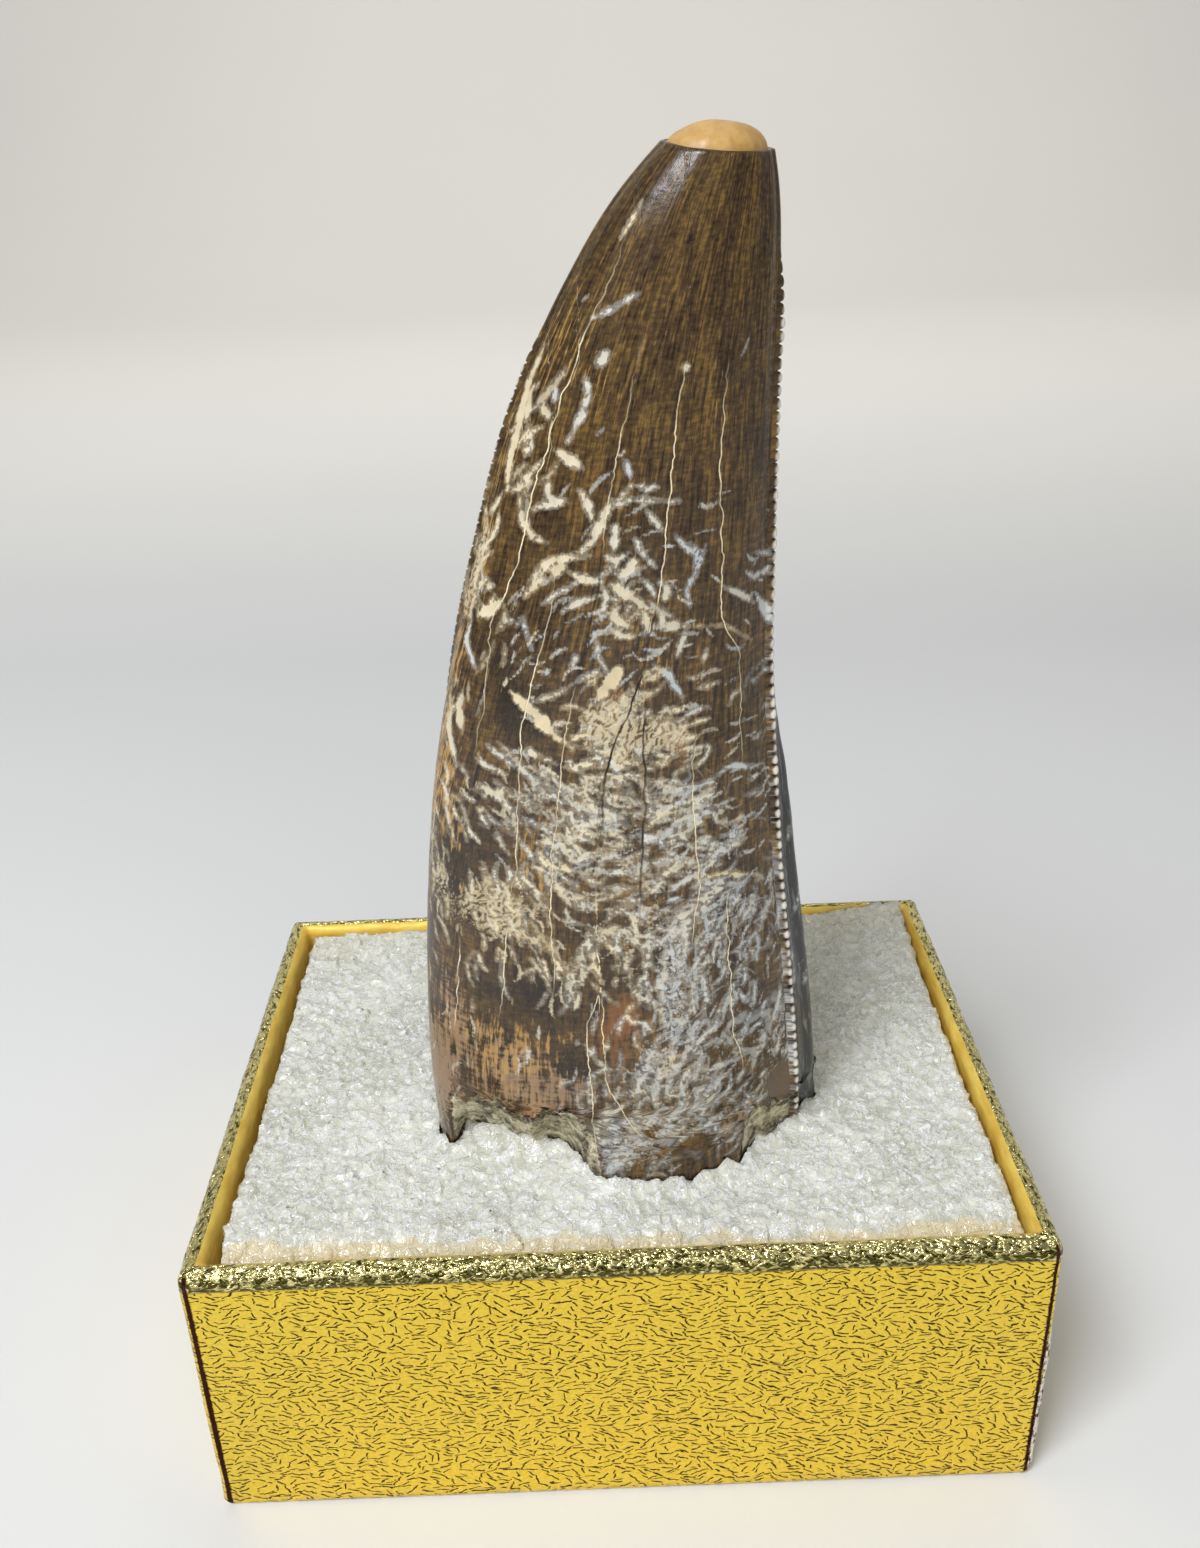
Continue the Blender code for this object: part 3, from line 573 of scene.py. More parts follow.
BACK_DENSE = (
    (-4.0, 62.0, 3.5, 6.0, 0.45, 0.3), (1.0, 53.0, 6.0, 5.0, 0.7, 0.4), (-6.0, 45.0, 5.0, 5.0, 0.6, 0.1),
    (4.5, 39.0, 4.5, 7.0, 0.6, 0.8), (-2.0, 32.0, 6.0, 5.0, 0.5, 0.5), (3.0, 70.0, 4.0, 5.0, 0.25, 0.6),
    (-8.0, 58.0, 1.5, 12.0, 0.4, 0.1), (8.0, 27.0, 4.0, 5.0, 0.5, 0.9),
)
# The way the marks run: x, height and degrees up from +X
FLOW = (
    (-8.0, 52.0, -40), (-4.0, 52.0, -45), (0.0, 53.0, -30), (3.0, 50.0, 18), (6.0, 50.0, 6), (9.0, 47.0, 22),
    (9.0, 42.0, 55), (11.0, 36.0, 72), (7.0, 30.0, 40), (4.0, 39.0, 88), (0.0, 32.0, 60), (-8.0, 44.0, -62),
    (-6.0, 36.0, 80), (0.0, 66.0, 40), (4.0, 66.0, -25), (-4.0, 72.0, 62), (0.0, 58.0, 20), (2.0, 46.0, 5),
    (-12.0, 46.0, 84), (-11.0, 56.0, 78), (-8.8, 65.0, 72), (-5.6, 74.0, 66),
)
# Stains: x, height, reach across, reach along and strength
CREAM = (
    (0.6, 57.6, 2.6, 3.0, 1.0), (4.2, 56.6, 1.9, 1.3, 0.8), (-7.4, 44.4, 4.2, 2.9, 0.85),
    (1.2, 41.5, 1.8, 3.5, 0.55), (0.6, 50.6, 3.6, 2.6, 0.5), (-4.6, 51.6, 2.4, 2.0, 0.4),
    (2.8, 34.0, 1.8, 3.0, 0.5), (-11.6, 50.0, 0.9, 9.0, 0.4), (1.8, 27.5, 3.2, 3.0, 0.55),
    (4.6, 31.5, 1.6, 3.0, 0.45),
)
FROST = (
    (4.2, 39.5, 1.3, 6.5, 1.0), (8.8, 43.0, 3.2, 2.8, 0.65), (8.6, 34.0, 4.0, 5.0, 0.6),
    (4.2, 28.0, 4.0, 3.5, 0.6), (0.2, 25.2, 2.4, 2.0, 0.9), (4.5, 52.6, 3.5, 2.0, 0.45),
    (12.0, 30.0, 1.6, 4.0, 0.5),
)
GOLD = (
    (-0.5, 79.5, 2.5, 5.0, 0.5), (7.2, 76.0, 1.0, 5.0, 0.5), (4.4, 82.0, 1.6, 3.0, 0.35),
    (-5.0, 48.5, 2.0, 3.0, 0.8), (-10.4, 52.0, 1.8, 7.0, 0.9), (4.5, 61.0, 2.6, 4.0, 0.55),
    (-6.0, 60.0, 2.0, 3.0, 0.4), (-7.0, 33.5, 5.0, 4.5, 0.9),
)
RUST = (
    (0.6, 36.3, 2.3, 3.0, 0.85), (-3.3, 51.0, 1.4, 1.6, 0.4), (-11.2, 33.0, 1.6, 5.0, 0.5),
    (1.0, 59.8, 1.2, 1.2, 0.6), (4.6, 56.6, 1.4, 1.6, 0.5), (-5.0, 28.6, 3.5, 1.2, 0.6),
    (-8.8, 60.0, 1.0, 6.0, 0.4), (0.2, 69.5, 1.2, 3.0, 0.3),
)
CLAY = (
    (-12.9, 29.0, 1.5, 5.0, 1.0), (-8.0, 32.0, 4.2, 4.0, 0.65), (-3.5, 30.5, 3.5, 2.5, 0.5),
    (-11.0, 37.0, 1.2, 4.0, 0.5), (9.5, 26.0, 3.0, 2.0, 0.7),
)
DARK = (
    (-8.2, 49.5, 2.8, 4.0, 0.5), (-5.5, 38.3, 4.5, 2.8, 0.6), (-6.3, 62.5, 2.2, 4.5, 0.4),
    (-3.0, 31.5, 2.4, 4.0, 0.5), (6.6, 38.0, 1.6, 5.0, 0.3), (-4.5, 58.3, 2.4, 3.0, 0.4),
    (-10.6, 46.0, 1.2, 4.0, 0.5), (10.0, 35.0, 2.5, 4.0, 0.4),
)
# On the back: cream, frost, gold, rust and dark
BACK_STAINS = (
    ((1.0, 54.0, 3.0, 3.0, 0.8), (-6.5, 45.0, 4.0, 3.5, 0.8), (-2.0, 31.0, 3.0, 3.0, 0.6)),
    ((4.5, 40.0, 2.0, 7.0, 0.8), (8.0, 28.0, 3.5, 5.0, 0.6)),
    ((-1.0, 78.0, 3.0, 5.0, 0.6), (4.0, 62.0, 3.0, 5.0, 0.6), (-7.0, 34.0, 4.0, 5.0, 0.7)),
    ((0.0, 38.0, 2.0, 3.0, 0.7), (-9.0, 55.0, 1.2, 6.0, 0.5)),
    ((-4.0, 60.0, 2.5, 4.0, 0.6), (2.0, 46.0, 3.0, 2.5, 0.6)),
)


def strengths(spots, x, z):
    """The strength that each of some soft-edged spots has at places on a face."""
    found = []
    for spot_x, spot_z, reach_across, reach_along, strength, *_ in spots:
        away = ((x - spot_x) / reach_across) ** 2 + ((z - spot_z) / reach_along) ** 2
        found.append(strength * np.exp(-away))
    return np.array(found)


def spread(spots, x, z):
    """The summed strength of soft-edged spots, up to 1."""
    return np.minimum(strengths(spots, x, z).sum(axis=0), 1.0)


def angle_at(x, z, back):
    """Where x lies round the section at a height, on the front or on the back."""
    lead = read_curve(STATIONS, 1, z)
    trail = read_curve(STATIONS, 2, z)
    angle = np.arccos(np.clip((2 * x - trail - lead) / (trail - lead), -0.999, 0.999))
    return np.where(back, 2 * np.pi - angle, angle)


def etched_paths(rng, dense, back, tries, widths=(0.08, 0.16), lengths=(1.0, 3.4), wander=0.4):
    """Short curved marks, scattered where they are dense and turned with the flow."""
    z = rng.uniform(MARKS_LOW, MARKS_HIGH, tries)
    x = rng.uniform(0, 1, tries)
    lead = read_curve(STATIONS, 1, z)
    x = lead + (read_curve(STATIONS, 2, z) - lead) * x
    weights = strengths(dense, x, z)
    keep = rng.uniform(0, 1, tries) < np.minimum(weights.sum(axis=0), 1.0) ** 1.3 + 0.002
    tones = np.array([spot[5] for spot in dense])
    tone = (weights * tones[:, None]).sum(axis=0) / (weights.sum(axis=0) + 1e-6)
    x, z = x[keep], z[keep]
    tone = np.clip(tone[keep] + rng.normal(0, 0.22, keep.sum()), 0, 1)
    flow = np.array(FLOW, float)
    away = 1 / ((x[:, None] - flow[:, 0]) ** 2 + (z[:, None] - flow[:, 1]) ** 2 + 2.0) ** 1.5
    twice = np.radians(2 * flow[:, 2])
    heading = np.arctan2((away * np.sin(twice)).sum(axis=1), (away * np.cos(twice)).sum(axis=1)) / 2
    heading += rng.normal(0, wander, len(x))
    length = rng.uniform(*lengths, len(x)) * rng.uniform(0.5, 1.0, len(x))
    width = rng.uniform(*widths, len(x)) * (0.8 + 0.2 * length)
    bend = rng.normal(0, 0.55, len(x))
    ink = rng.uniform(0.25, 1.1, len(x)) ** 0.7
    angle = angle_at(x, z, back)
    samples = []
    for share in np.arange(SAMPLES_IN_MARK) / (SAMPLES_IN_MARK - 1):
        radius = width * np.clip(1 - np.abs(2 * share - 1) ** 2, 0.05, 1) ** 0.7
        samples.append(np.column_stack([section_at(angle, z), radius, tone, ink]))
        turn = heading + bend * (share - 0.5) * 2
        speed = np.linalg.norm(section_at(angle + 0.01, z) - section_at(angle - 0.01, z), axis=1) / 0.02
        along = length / (SAMPLES_IN_MARK - 1)
        angle = angle - along * np.cos(turn) / np.maximum(speed, 1.5) * (-1 if back else 1)
        z = z + along * np.sin(turn)
    return np.concatenate(samples)


def drawn_path(half_width, tone, path):
    """Samples along one listed mark, on a smooth line through its points."""
    path = np.array(path, float)
    run = np.concatenate([[0], np.cumsum(np.linalg.norm(np.diff(path, axis=0), axis=1))])
    at = np.linspace(0, run[-1], max(int(run[-1] / 0.08), 5))
    x = np.interp(at, run, path[:, 0])
    z = np.interp(at, run, path[:, 1])
    ripple = rough_noise(np.stack([at * 2.0, x, z], axis=1), 7, 2)
    taper = np.clip(1 - np.abs(2 * at / run[-1] - 1) ** 2.2, 0.10, 1) ** 0.7
    radius = half_width * taper * (1 + 0.5 * ripple)
    points = section_at(angle_at(x, z, False), z)
    return np.column_stack([points, radius, np.full(len(at), tone), 0.85 + 0.15 * ripple])


def read_marks(points, samples):
    """At each point, the distance to the nearest mark's edge, negative inside, and its tone and ink."""
    tree = kdtree.KDTree(len(samples))
    for index, place in enumerate(samples[:, :3].tolist()):
        tree.insert(place, index)
    tree.balance()
    edge = np.empty(len(points))
    found = np.empty(len(points), int)
    radius = samples[:, 3].tolist()
    for row, place in enumerate(points.tolist()):
        edge[row], found[row] = min((away - radius[index], index) for _, index, away in tree.find_n(place, 3))
    return np.clip(edge, -1.0, 1.5), samples[found, 4], samples[found, 5]


def uneven_along(z, rate, row, seed):
    """Smooth noise that changes with height only, and differs from row to row."""
    return soft_noise(np.stack([z * rate, 0 * z, 0 * z + row], axis=-1), seed)


def read_cracks(x, z, stretch, cracks):
    """The signed distance across the tooth to the nearest crack, and its pale and its dark ink."""
    near = np.full(z.shape, 9.0)
    ink = np.zeros(z.shape)
    for index, crack in enumerate(cracks):
        path = np.array(crack[::-1], float)
        wander = 0.10 * uneven_along(z, 1.1, index, 11) + 0.06 * uneven_along(z, 3.1, index, 12)
        faint = 0.95 + 0.5 * uneven_along(z, 0.8, index, 13)
        away = (x - np.interp(z, path[:, 1], path[:, 0]) + wander) * stretch
        strength = faint * np.interp(z, path[:, 1], path[:, 2]) * (z > path[0, 1]) * (z < path[-1, 1])
        closer = np.abs(away) < np.abs(near)
        near = np.where(closer, away, near)
        ink = np.where(closer, strength, ink)
    ink *= 1 - smooth(0.3, 0.5, np.abs(near))
    return near, np.clip(ink, 0, 1), np.clip(-ink, 0, 1)


def surface_normals(grid):
    """Outward directions over a grid of points on one face of the tooth."""
    down = np.gradient(grid, axis=0)
    across = np.gradient(grid, axis=1)
    normal = np.cross(down, across)
    normal /= np.linalg.norm(normal, axis=2, keepdims=True) + 1e-9
    outward = np.sign(np.einsum("ijk,ijk->ij", normal[..., :2], grid[..., :2] - TOOTH_MIDDLE))
    return normal * np.sign(np.median(outward))


def carve_face(grid, from_trail, from_lead, back, samples):
    """Moves a face's points along their normals: flutes, etching, cracks, folds, the scar and the breaks."""
    flat = grid.reshape(-1, 3)
    normal = surface_normals(grid)
    x, z = grid[..., 0], grid[..., 2]
    edge, _, _ = read_marks(flat, samples)
    edge = edge.reshape(x.shape)
    cracks = BACK_CRACKS if back else CRACKS
    near, pale, dark = read_cracks(x, z, 1 / np.maximum(np.abs(normal[..., 1]), 0.35), cracks)
    fan = from_trail / (from_trail + from_lead)
    flutes = np.stack([fan * FLUTES, z / FLUTE_LENGTH, 0 * z + back], axis=-1)
    rise = FLUTE_DEPTH * soft_noise(flutes, 3) + 0.014 * rough_noise(grid / 1.4, 5)
    rise -= ETCHING_DEPTH * smooth(0.06, -0.10, edge)
    rise -= CRACK_DEPTH * (pale + dark * 1.5) * np.exp(-((near / CRACK_HALF_WIDTH) ** 2))
    if back:
        folded = smooth(FOLD_START, FOLD_FULL, z) * smooth(9.5, 5.0, from_trail)
        rise += folded * FOLD_HEIGHT * np.sin(from_trail * 3.1 + 0.8 * np.sin(z * 0.16) + 0.5)
    else:
        inside = 1 - from_scar(x, z) + 0.18 * rough_noise(grid / 0.9, 8)
        rise -= SCAR_DEPTH * smooth(0.0, 0.16, inside)
        broken = smooth(0.1, 0.5, break_depth(x, z))
        rise += broken * (BREAK_ROUGHNESS * rough_noise(grid / np.array((3.2, 3.2, 1.8)), 9) - 0.05)
    hold = smooth(0.5, 1.3, from_trail) * smooth(0.5, 1.3, from_lead)
    return grid + normal * (rise * hold)[..., None]


def scatter_marks(look):
    """Samples along all etched marks of both faces, and along all thin wisps."""
    rng = np.random.default_rng(look.seed)
    marks = [drawn_path(*mark) for mark in ETCHED]
    marks.append(etched_paths(rng, DENSE, False, look.front_marks))
    marks.append(etched_paths(rng, BACK_DENSE, True, look.back_marks))
    thin = {"widths": (0.05, 0.10), "lengths": (0.8, 2.4), "wander": 0.25}
    wisps = [etched_paths(rng, WISPS, False, look.wisps, **thin)]
    wisps.append(etched_paths(rng, BACK_DENSE, True, look.back_marks, **thin))
    return np.concatenate(marks), np.concatenate(wisps)


def tip_lift(scale, points):
    """The worn tip: a lip of enamel, a fine groove inside it, and a low dome of dentine that leans."""
    hump = np.clip(1 - (scale / 0.87) ** 2, 0, 1) ** 0.6
    lip = 0.05 * smooth(1.0, 0.96, scale) - 0.10 * np.exp(-(((scale - TIP_GROOVE) / 0.02) ** 2))
    return lip + hump * (TIP_DOME + TIP_SKEW * scale * (points[:, 0] - TIP_CENTRE_X))


def root_lift(scale, points):
    """The broken root end: a shallow hollow with a rough floor."""
    return PULP_DEPTH * (1 - scale**2) + 0.25 * soft_noise(points * 0.8, 17)


def stains_at(x, z, is_back, from_trail, from_lead):
    """How strong cream, frost, gold, rust and dark stains are, in spots and along the cutting edges."""
    stains = []
    for front_spots, back_spots in zip((CREAM, FROST, GOLD, RUST, DARK), BACK_STAINS):
        stains.append(np.where(is_back > 0.5, spread(back_spots, x, z), spread(front_spots, x, z)))
    cream, frost, gold, rust, dark = stains
    flank = np.exp(-(((from_lead - 1.2) / 1.6) ** 2)) * smooth(22, 40, z) * smooth(88, 70, z)
    patches = 0.6 + 0.6 * soft_noise(np.stack([z / 2.6, from_lead / 0.9, 0 * z], axis=1), 61)
    cream = np.clip(cream + 0.95 * flank * patches, 0, 1)
    gold = np.minimum(gold + 0.8 * flank, 1)
    trail_band = np.exp(-(((from_trail - 1.0) / 0.8) ** 2)) * smooth(50, 60, z) * smooth(84, 74, z)
    rust = np.minimum(rust + 0.35 * trail_band * (is_back < 0.75), 1)
    frost = np.minimum(frost + 0.5 * np.exp(-((from_trail / 0.8) ** 2)) * smooth(72, 60, z), 1)
    return cream, frost, gold, rust, dark


def make_tooth(look):
    """The tooth as one closed skin: two carved faces, two beaded cutting edges, the tip and the root end."""
    marks, wisps = scatter_marks(look)
    face = face_grid(TRAILING_PATH, LEADING_PATH, 0.0, FRONT_ROWS, FRONT_COLUMNS)
    front_t, front, front_trail, front_lead = face
    face = face_grid(LEADING_PATH, TRAILING_PATH, 2 * np.pi, BACK_ROWS, BACK_COLUMNS)
    back_t, back, back_lead, back_trail = face
    front = carve_face(front, front_trail, front_lead, False, marks)
    back = carve_face(back, back_trail, back_lead, True, marks)
    trail_t, trail_strip, trail_bead = edge_strip(TRAILING_PATH, TRAILING_ROW)
    lead_t, lead_strip, lead_bead = edge_strip(LEADING_PATH, LEADING_ROW)
    skin = Skin()
    strips = [skin.add_points(strip) for strip in (front, lead_strip, back, trail_strip)]
    for ids in strips:
        skin.add_grid(ids)
    places = (front_t, lead_t, back_t, trail_t)
    for k in range(4):
        after = (k + 1) % 4
        skin.zip_rows(strips[k][:, -1], places[k], strips[after][:, 0], places[after])
    body_count = skin.count
    tip = np.concatenate([ids[-1] for ids in strips])
    root = np.concatenate([ids[0] for ids in strips])
    skin.add_rings(tip, TIP_SCALES, tip_lift, lambda scale: DENTINE if scale <= TIP_GROOVE else ENAMEL)
    skin.add_rings(root, ROOT_SCALES, root_lift, lambda scale: ROCK)
    sizes = [ids.size for ids in strips] + [skin.count - body_count]

    def at_all_points(*values):
        """Joins what the front, leading edge, back, trailing edge and ends have at their points."""
        return np.concatenate([np.broadcast_to(np.ravel(v), size) for v, size in zip(values, sizes)])

    is_back = at_all_points(0, 0.5, 1, 0.5, 0)
    from_trail = at_all_points(front_trail, CHORD, back_trail, 0, FROM_END)
    from_lead = at_all_points(front_lead, 0, back_lead, CHORD, FROM_END)
    bead = at_all_points(0, lead_bead, 0, trail_bead, 0)
    is_end = at_all_points(0, 0, 0, 0, 1)
    points = skin.all_points()
    x, z = points[:, 0], points[:, 2]
    fan = from_trail / (from_trail + from_lead) * CROWN_WIDTH
    near, pale, dark = np.zeros((3, len(points)))
    for side, cracks in ((0, CRACKS), (1, BACK_CRACKS)):
        here = is_back == side
        near[here], pale[here], dark[here] = read_cracks(x[here], z[here], 1.15, cracks)
    cream, frost, gold, rust, shade = stains_at(x, z, is_back, from_trail, from_lead)
    folded = (is_back > 0.75) * smooth(FOLD_START, FOLD_FULL, z) * smooth(10, 5, from_trail)
    scar = smooth(1.05, 0.85, from_scar(x, z)) * (is_back < 0.25)
    tip_ring = is_end * (z > 60)
    numbers = {
        "crown": np.stack([fan + BACK_SHIFT * (is_back > 0.75), z, 0 * z], axis=1),
        "marks": np.stack(read_marks(points, marks), axis=1),
        "wisps": np.stack(read_marks(points, wisps), axis=1),
        "cracks": np.stack([near, pale, dark], axis=1),
        "minerals": np.stack([cream, frost, bead], axis=1),
        "stains": np.stack([gold, rust, shade], axis=1),
        "forms": np.stack([folded, scar, tip_ring], axis=1),
        "clay": spread(CLAY, x, z) * (is_back < 0.5),
    }
    front_faces = skin.faces[: (FRONT_ROWS - 1) * (FRONT_COLUMNS - 1)]
    middles = np.array([points[corners].mean(axis=0) for corners in front_faces])
    for row in np.nonzero(break_depth(middles[:, 0], middles[:, 2]) > 0.3)[0]:
        skin.finish[row] = ROCK
    materials = [polished_enamel(look), bare_dentine(look), sandy_matrix(look)]
    tooth = skin.build("fossil_tooth", materials, sharp=60, numbers=numbers)
    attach(tooth, "root")
    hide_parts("tooth")
    return tooth


# The tooth's materials


def read_numbers(tree, name):
    """The three numbers that a mesh keeps at each point under one name."""
    split = add(tree, SPLIT, {0: add(tree, ATTRIBUTE, output="Vector", attribute_name=name)})
    return split.node.outputs[0], split.node.outputs[1], split.node.outputs[2]


def grain(tree, place, size_mm, detail=3.0, roughness=0.55, distortion=0.0):
    """Natural unevenness whose features measure size_mm across, along and through."""
    scale = tuple(1 / size for size in size_mm)
    scaled = add(tree, VECTOR, {0: place, 1: scale}, operation="MULTIPLY")
    sockets = {"Vector": scaled, "Scale": 1.0, "Detail": detail, "Roughness": roughness}
    return add(tree, NOISE, {**sockets, "Distortion": distortion})


def from_strokes(tree, place, pitch, half_length, chances=0.8):
    """How far a place is, in mm, from short strokes, one to a cell of the pitch.

    Neighbours lie nearly parallel: chances are how far their turns, in radians, may differ.
    """
    spaced = add(tree, VECTOR, {0: place, 1: pitch}, operation="DIVIDE")
    cells = {"Vector": spaced, "Scale": 1.0, "Randomness": 0.8}
    middle = add(tree, VECTOR, {0: add(tree, CELLS, cells, "Position"), 1: pitch}, operation="MULTIPLY")
    middle = add(tree, VECTOR, {0: middle, 1: (1.0, 1.0, 0.0)}, operation="MULTIPLY")
    patches = grain(tree, middle, (1.8, 1.4, 1.0), 1.0)
    turn = add(tree, RANGE, {0: patches, 3: -3.3, 4: 2.7})
    turn = layered(tree, turn, (add(tree, SPLIT, {0: add(tree, CELLS, cells, "Color")}), chances))
    offset = add(tree, VECTOR, {0: place, 1: middle}, operation="SUBTRACT")
    sockets = {"Vector": offset, "Angle": turn}
    turned = add(tree, "ShaderNodeVectorRotate", sockets, rotation_type="Z_AXIS")
    bend = add(tree, RANGE, {0: grain(tree, place, (0.5, 0.4, 1.0), 1.0), 3: -0.16, 4: 0.16})
    across = add(tree, MATH, {0: add(tree, SPLIT, {0: turned}, 1), 1: bend}, operation="ADD")
    along = add(tree, MATH, {0: add(tree, SPLIT, {0: turned})}, operation="ABSOLUTE")
    beyond = add(tree, MATH, {0: along, 1: half_length}, operation="SUBTRACT")
    beyond = add(tree, MATH, {0: beyond, 1: 0.0}, operation="MAXIMUM")
    away = add(tree, "ShaderNodeCombineXYZ", {0: beyond, 1: across})
    return add(tree, VECTOR, {0: away}, "Value", operation="LENGTH")


def polished_enamel(look):
    """Fossil enamel, stained brown in the ground and polished: streaks lie deep under a glassy surface."""
    values = {"IOR": 1.5, "Specular IOR Level": 0.52}
    material, tree, shader = start_material("polished_fossil_enamel", values)
    crown = add(tree, ATTRIBUTE, output="Vector", attribute_name="crown")
    clay = add(tree, ATTRIBUTE, output="Fac", attribute_name="clay")
    edge, tone, ink = read_numbers(tree, "marks")
    wisp_edge, wisp_tone, wisp_ink = read_numbers(tree, "wisps")
    near, pale, dark = read_numbers(tree, "cracks")
    cream, frost, bead = read_numbers(tree, "minerals")
    gold, rust, shade = read_numbers(tree, "stains")
    folded, scar, tip_ring = read_numbers(tree, "forms")

    # Growth streaks a third of a millimetre apart along the tooth, with finer lines across them
    streak = grain(tree, crown, (0.34, 3.0, 1.0), 4.0, 0.65, 0.35)
    lines = grain(tree, crown, (1.0, 0.28, 1.0), 3.0)
    blotch = grain(tree, crown, (3.0, 6.0, 1.0), 3.0)
    short = grain(tree, crown, (0.34, 1.0, 1.0), 2.0)
    fine = grain(tree, crown, (0.20, 0.26, 1.0), 2.0)
    mottled = layered(tree, streak, (lines, 0.55), (short, 0.45), (blotch, 0.50))
    mottled = add(tree, RANGE, {0: mottled, 1: 0.74, 2: 1.76})
    stops = [(0.30, look.enamel_dark), (0.53, look.enamel_brown), (0.78, look.enamel_ochre)]
    ground = add(tree, RAMP, {0: mottled}, stops=stops)

    # Stains from the ground water: where each lies, the patterns that break it up, the sums at which it
    # starts and is full, how far it then covers, and its colour
    uneven = add(tree, MATH, {0: blotch, 1: streak}, operation="ADD")
    stains = (
        (shade, ((uneven, 1.6), (short, 1.0)), 2.46, 2.72, 0.88, look.stain_dark),
        (rust, ((uneven, 1.3), (lines, 0.5)), 1.80, 2.50, 0.85, look.rust),
        (clay, ((streak, 2.0), (lines, 1.0)), 1.90, 2.30, 0.70, look.clay),
        (gold, ((streak, 2.5), (short, 2.0)), 2.90, 3.50, 0.80, look.gold_streak),
    )
    coats = []
    for where, patterns, faint, full, most, colour in stains:
        share = layered(tree, where, *patterns)
        coats.append((add(tree, RANGE, {0: share, 1: faint, 2: full, 4: most}, **EASED), colour))

    # The far side lies in long folds, dark with grey crests
    crest = add(tree, RANGE, {0: streak, 1: 0.50, 2: 0.72, 4: 0.30}, **EASED)
    far_face = coated(tree, look.far_face, [(crest, look.frost)])

    # Dissolved mineral dried as a cream crust, fuller in some half-millimetre cells than in others, and cut
    # by nicks half a millimetre long
    net = add(tree, VECTOR, {0: crown, 1: (1 / 0.50, 1 / 0.56, 1.0)}, operation="MULTIPLY")
    warp = add(tree, NOISE, {"Vector": crown, "Scale": 1.5, "Detail": 3.0}, "Color")
    net = add(tree, VECTOR, {0: warp, 1: (2.6, 2.6, 0.0), 2: net}, operation="MULTIPLY_ADD")
    net = {"Vector": net, "Scale": 1.0}
    cell = add(tree, SPLIT, {0: add(tree, CELLS, net, "Color")})
    filled = layered(tree, cream, (cell, 0.35), (fine, 0.5))
    filled = add(tree, RANGE, {0: filled, 1: 0.92, 2: 1.22}, **EASED)
    flat = add(tree, VECTOR, {0: crown, 1: (1.0, 1.0, 0.0)}, operation="MULTIPLY")
    nicks = from_strokes(tree, flat, (0.62, 0.48, 1.0), 0.26, chances=2.4)
    nicks = add(tree, RANGE, {0: layered(tree, nicks, (fine, 0.10)), 1: 0.105, 2: 0.205, 3: 0.10}, **EASED)
    crust = add(tree, MATH, {0: filled, 1: nicks}, operation="MULTIPLY")
    crust_share = add(tree, MATH, {0: crust, 1: 0.66}, operation="MULTIPLY")

    # A bluish frost of fine crystals, broken along the walls of the same cells, with broken arcs of it
    walls = add(tree, CELLS, net, "Distance", feature="DISTANCE_TO_EDGE")
    walls = layered(tree, walls, (fine, 0.30))
    open_wall = add(tree, RANGE, {0: walls, 1: 0.17, 2: 0.33, 3: 0.08}, **EASED)
    haze = layered(tree, frost, (fine, 0.9), (streak, 0.8), (cell, 0.35))
    haze = add(tree, RANGE, {0: haze, 1: 1.55, 2: 2.10, 4: 0.90}, **EASED)
    haze = add(tree, MATH, {0: haze, 1: open_wall}, operation="MULTIPLY")
    curl = grain(tree, crown, (6.0, 5.0, 1.0), 1.0, 0.5, 0.6)
    curl = add(tree, MATH, {0: curl, 1: 11.0}, operation="MULTIPLY")
    curl = add(tree, MATH, {0: curl, 1: 0.5}, operation="PINGPONG")
    curl = add(tree, RANGE, {0: layered(tree, curl, (fine, 0.30)), 1: 0.34, 2: 0.17}, **EASED)
    arcs = add(tree, RANGE, {0: grain(tree, crown, (1.6, 1.2, 1.0), 1.0), 1: 0.46, 2: 0.58, 4: 0.8})
    curl = add(tree, MATH, {0: curl, 1: arcs}, operation="MULTIPLY")
    curl = add(tree, MATH, {0: curl, 1: frost}, operation="MULTIPLY")
    haze = add(tree, MATH, {0: haze, 1: curl}, operation="MAXIMUM")

    # Thin wisps, then etched marks with a paler heart, both frayed by 0.1 mm at their edges
    wisp = add(tree, RANGE, {0: layered(tree, wisp_edge, (fine, 0.26)), 1: 0.22, 2: 0.09}, **EASED)
    wisp = add(tree, MATH, {0: wisp, 1: wisp_ink}, operation="MULTIPLY")
    wisp = add(tree, MATH, {0: wisp, 1: 0.75}, operation="MULTIPLY")
    pale_wisp = coated(tree, look.cream, [(wisp_tone, look.frost)])
    ragged = grain(tree, crown, (0.55, 0.45, 1.0), 2.0, 0.6)
    frayed = layered(tree, edge, (fine, 0.22), (ragged, 0.45))
    halo = add(tree, RANGE, {0: frayed, 1: 0.53, 2: 0.36, 4: 0.30}, **EASED)
    heart = add(tree, RANGE, {0: frayed, 1: 0.37, 2: 0.27}, **EASED)
    mark = add(tree, MATH, {0: halo, 1: heart}, operation="MAXIMUM")
    mark = add(tree, MATH, {0: mark, 1: ink}, operation="MULTIPLY")
    pale_mark = coated(tree, look.cream, [(tone, look.frost)])

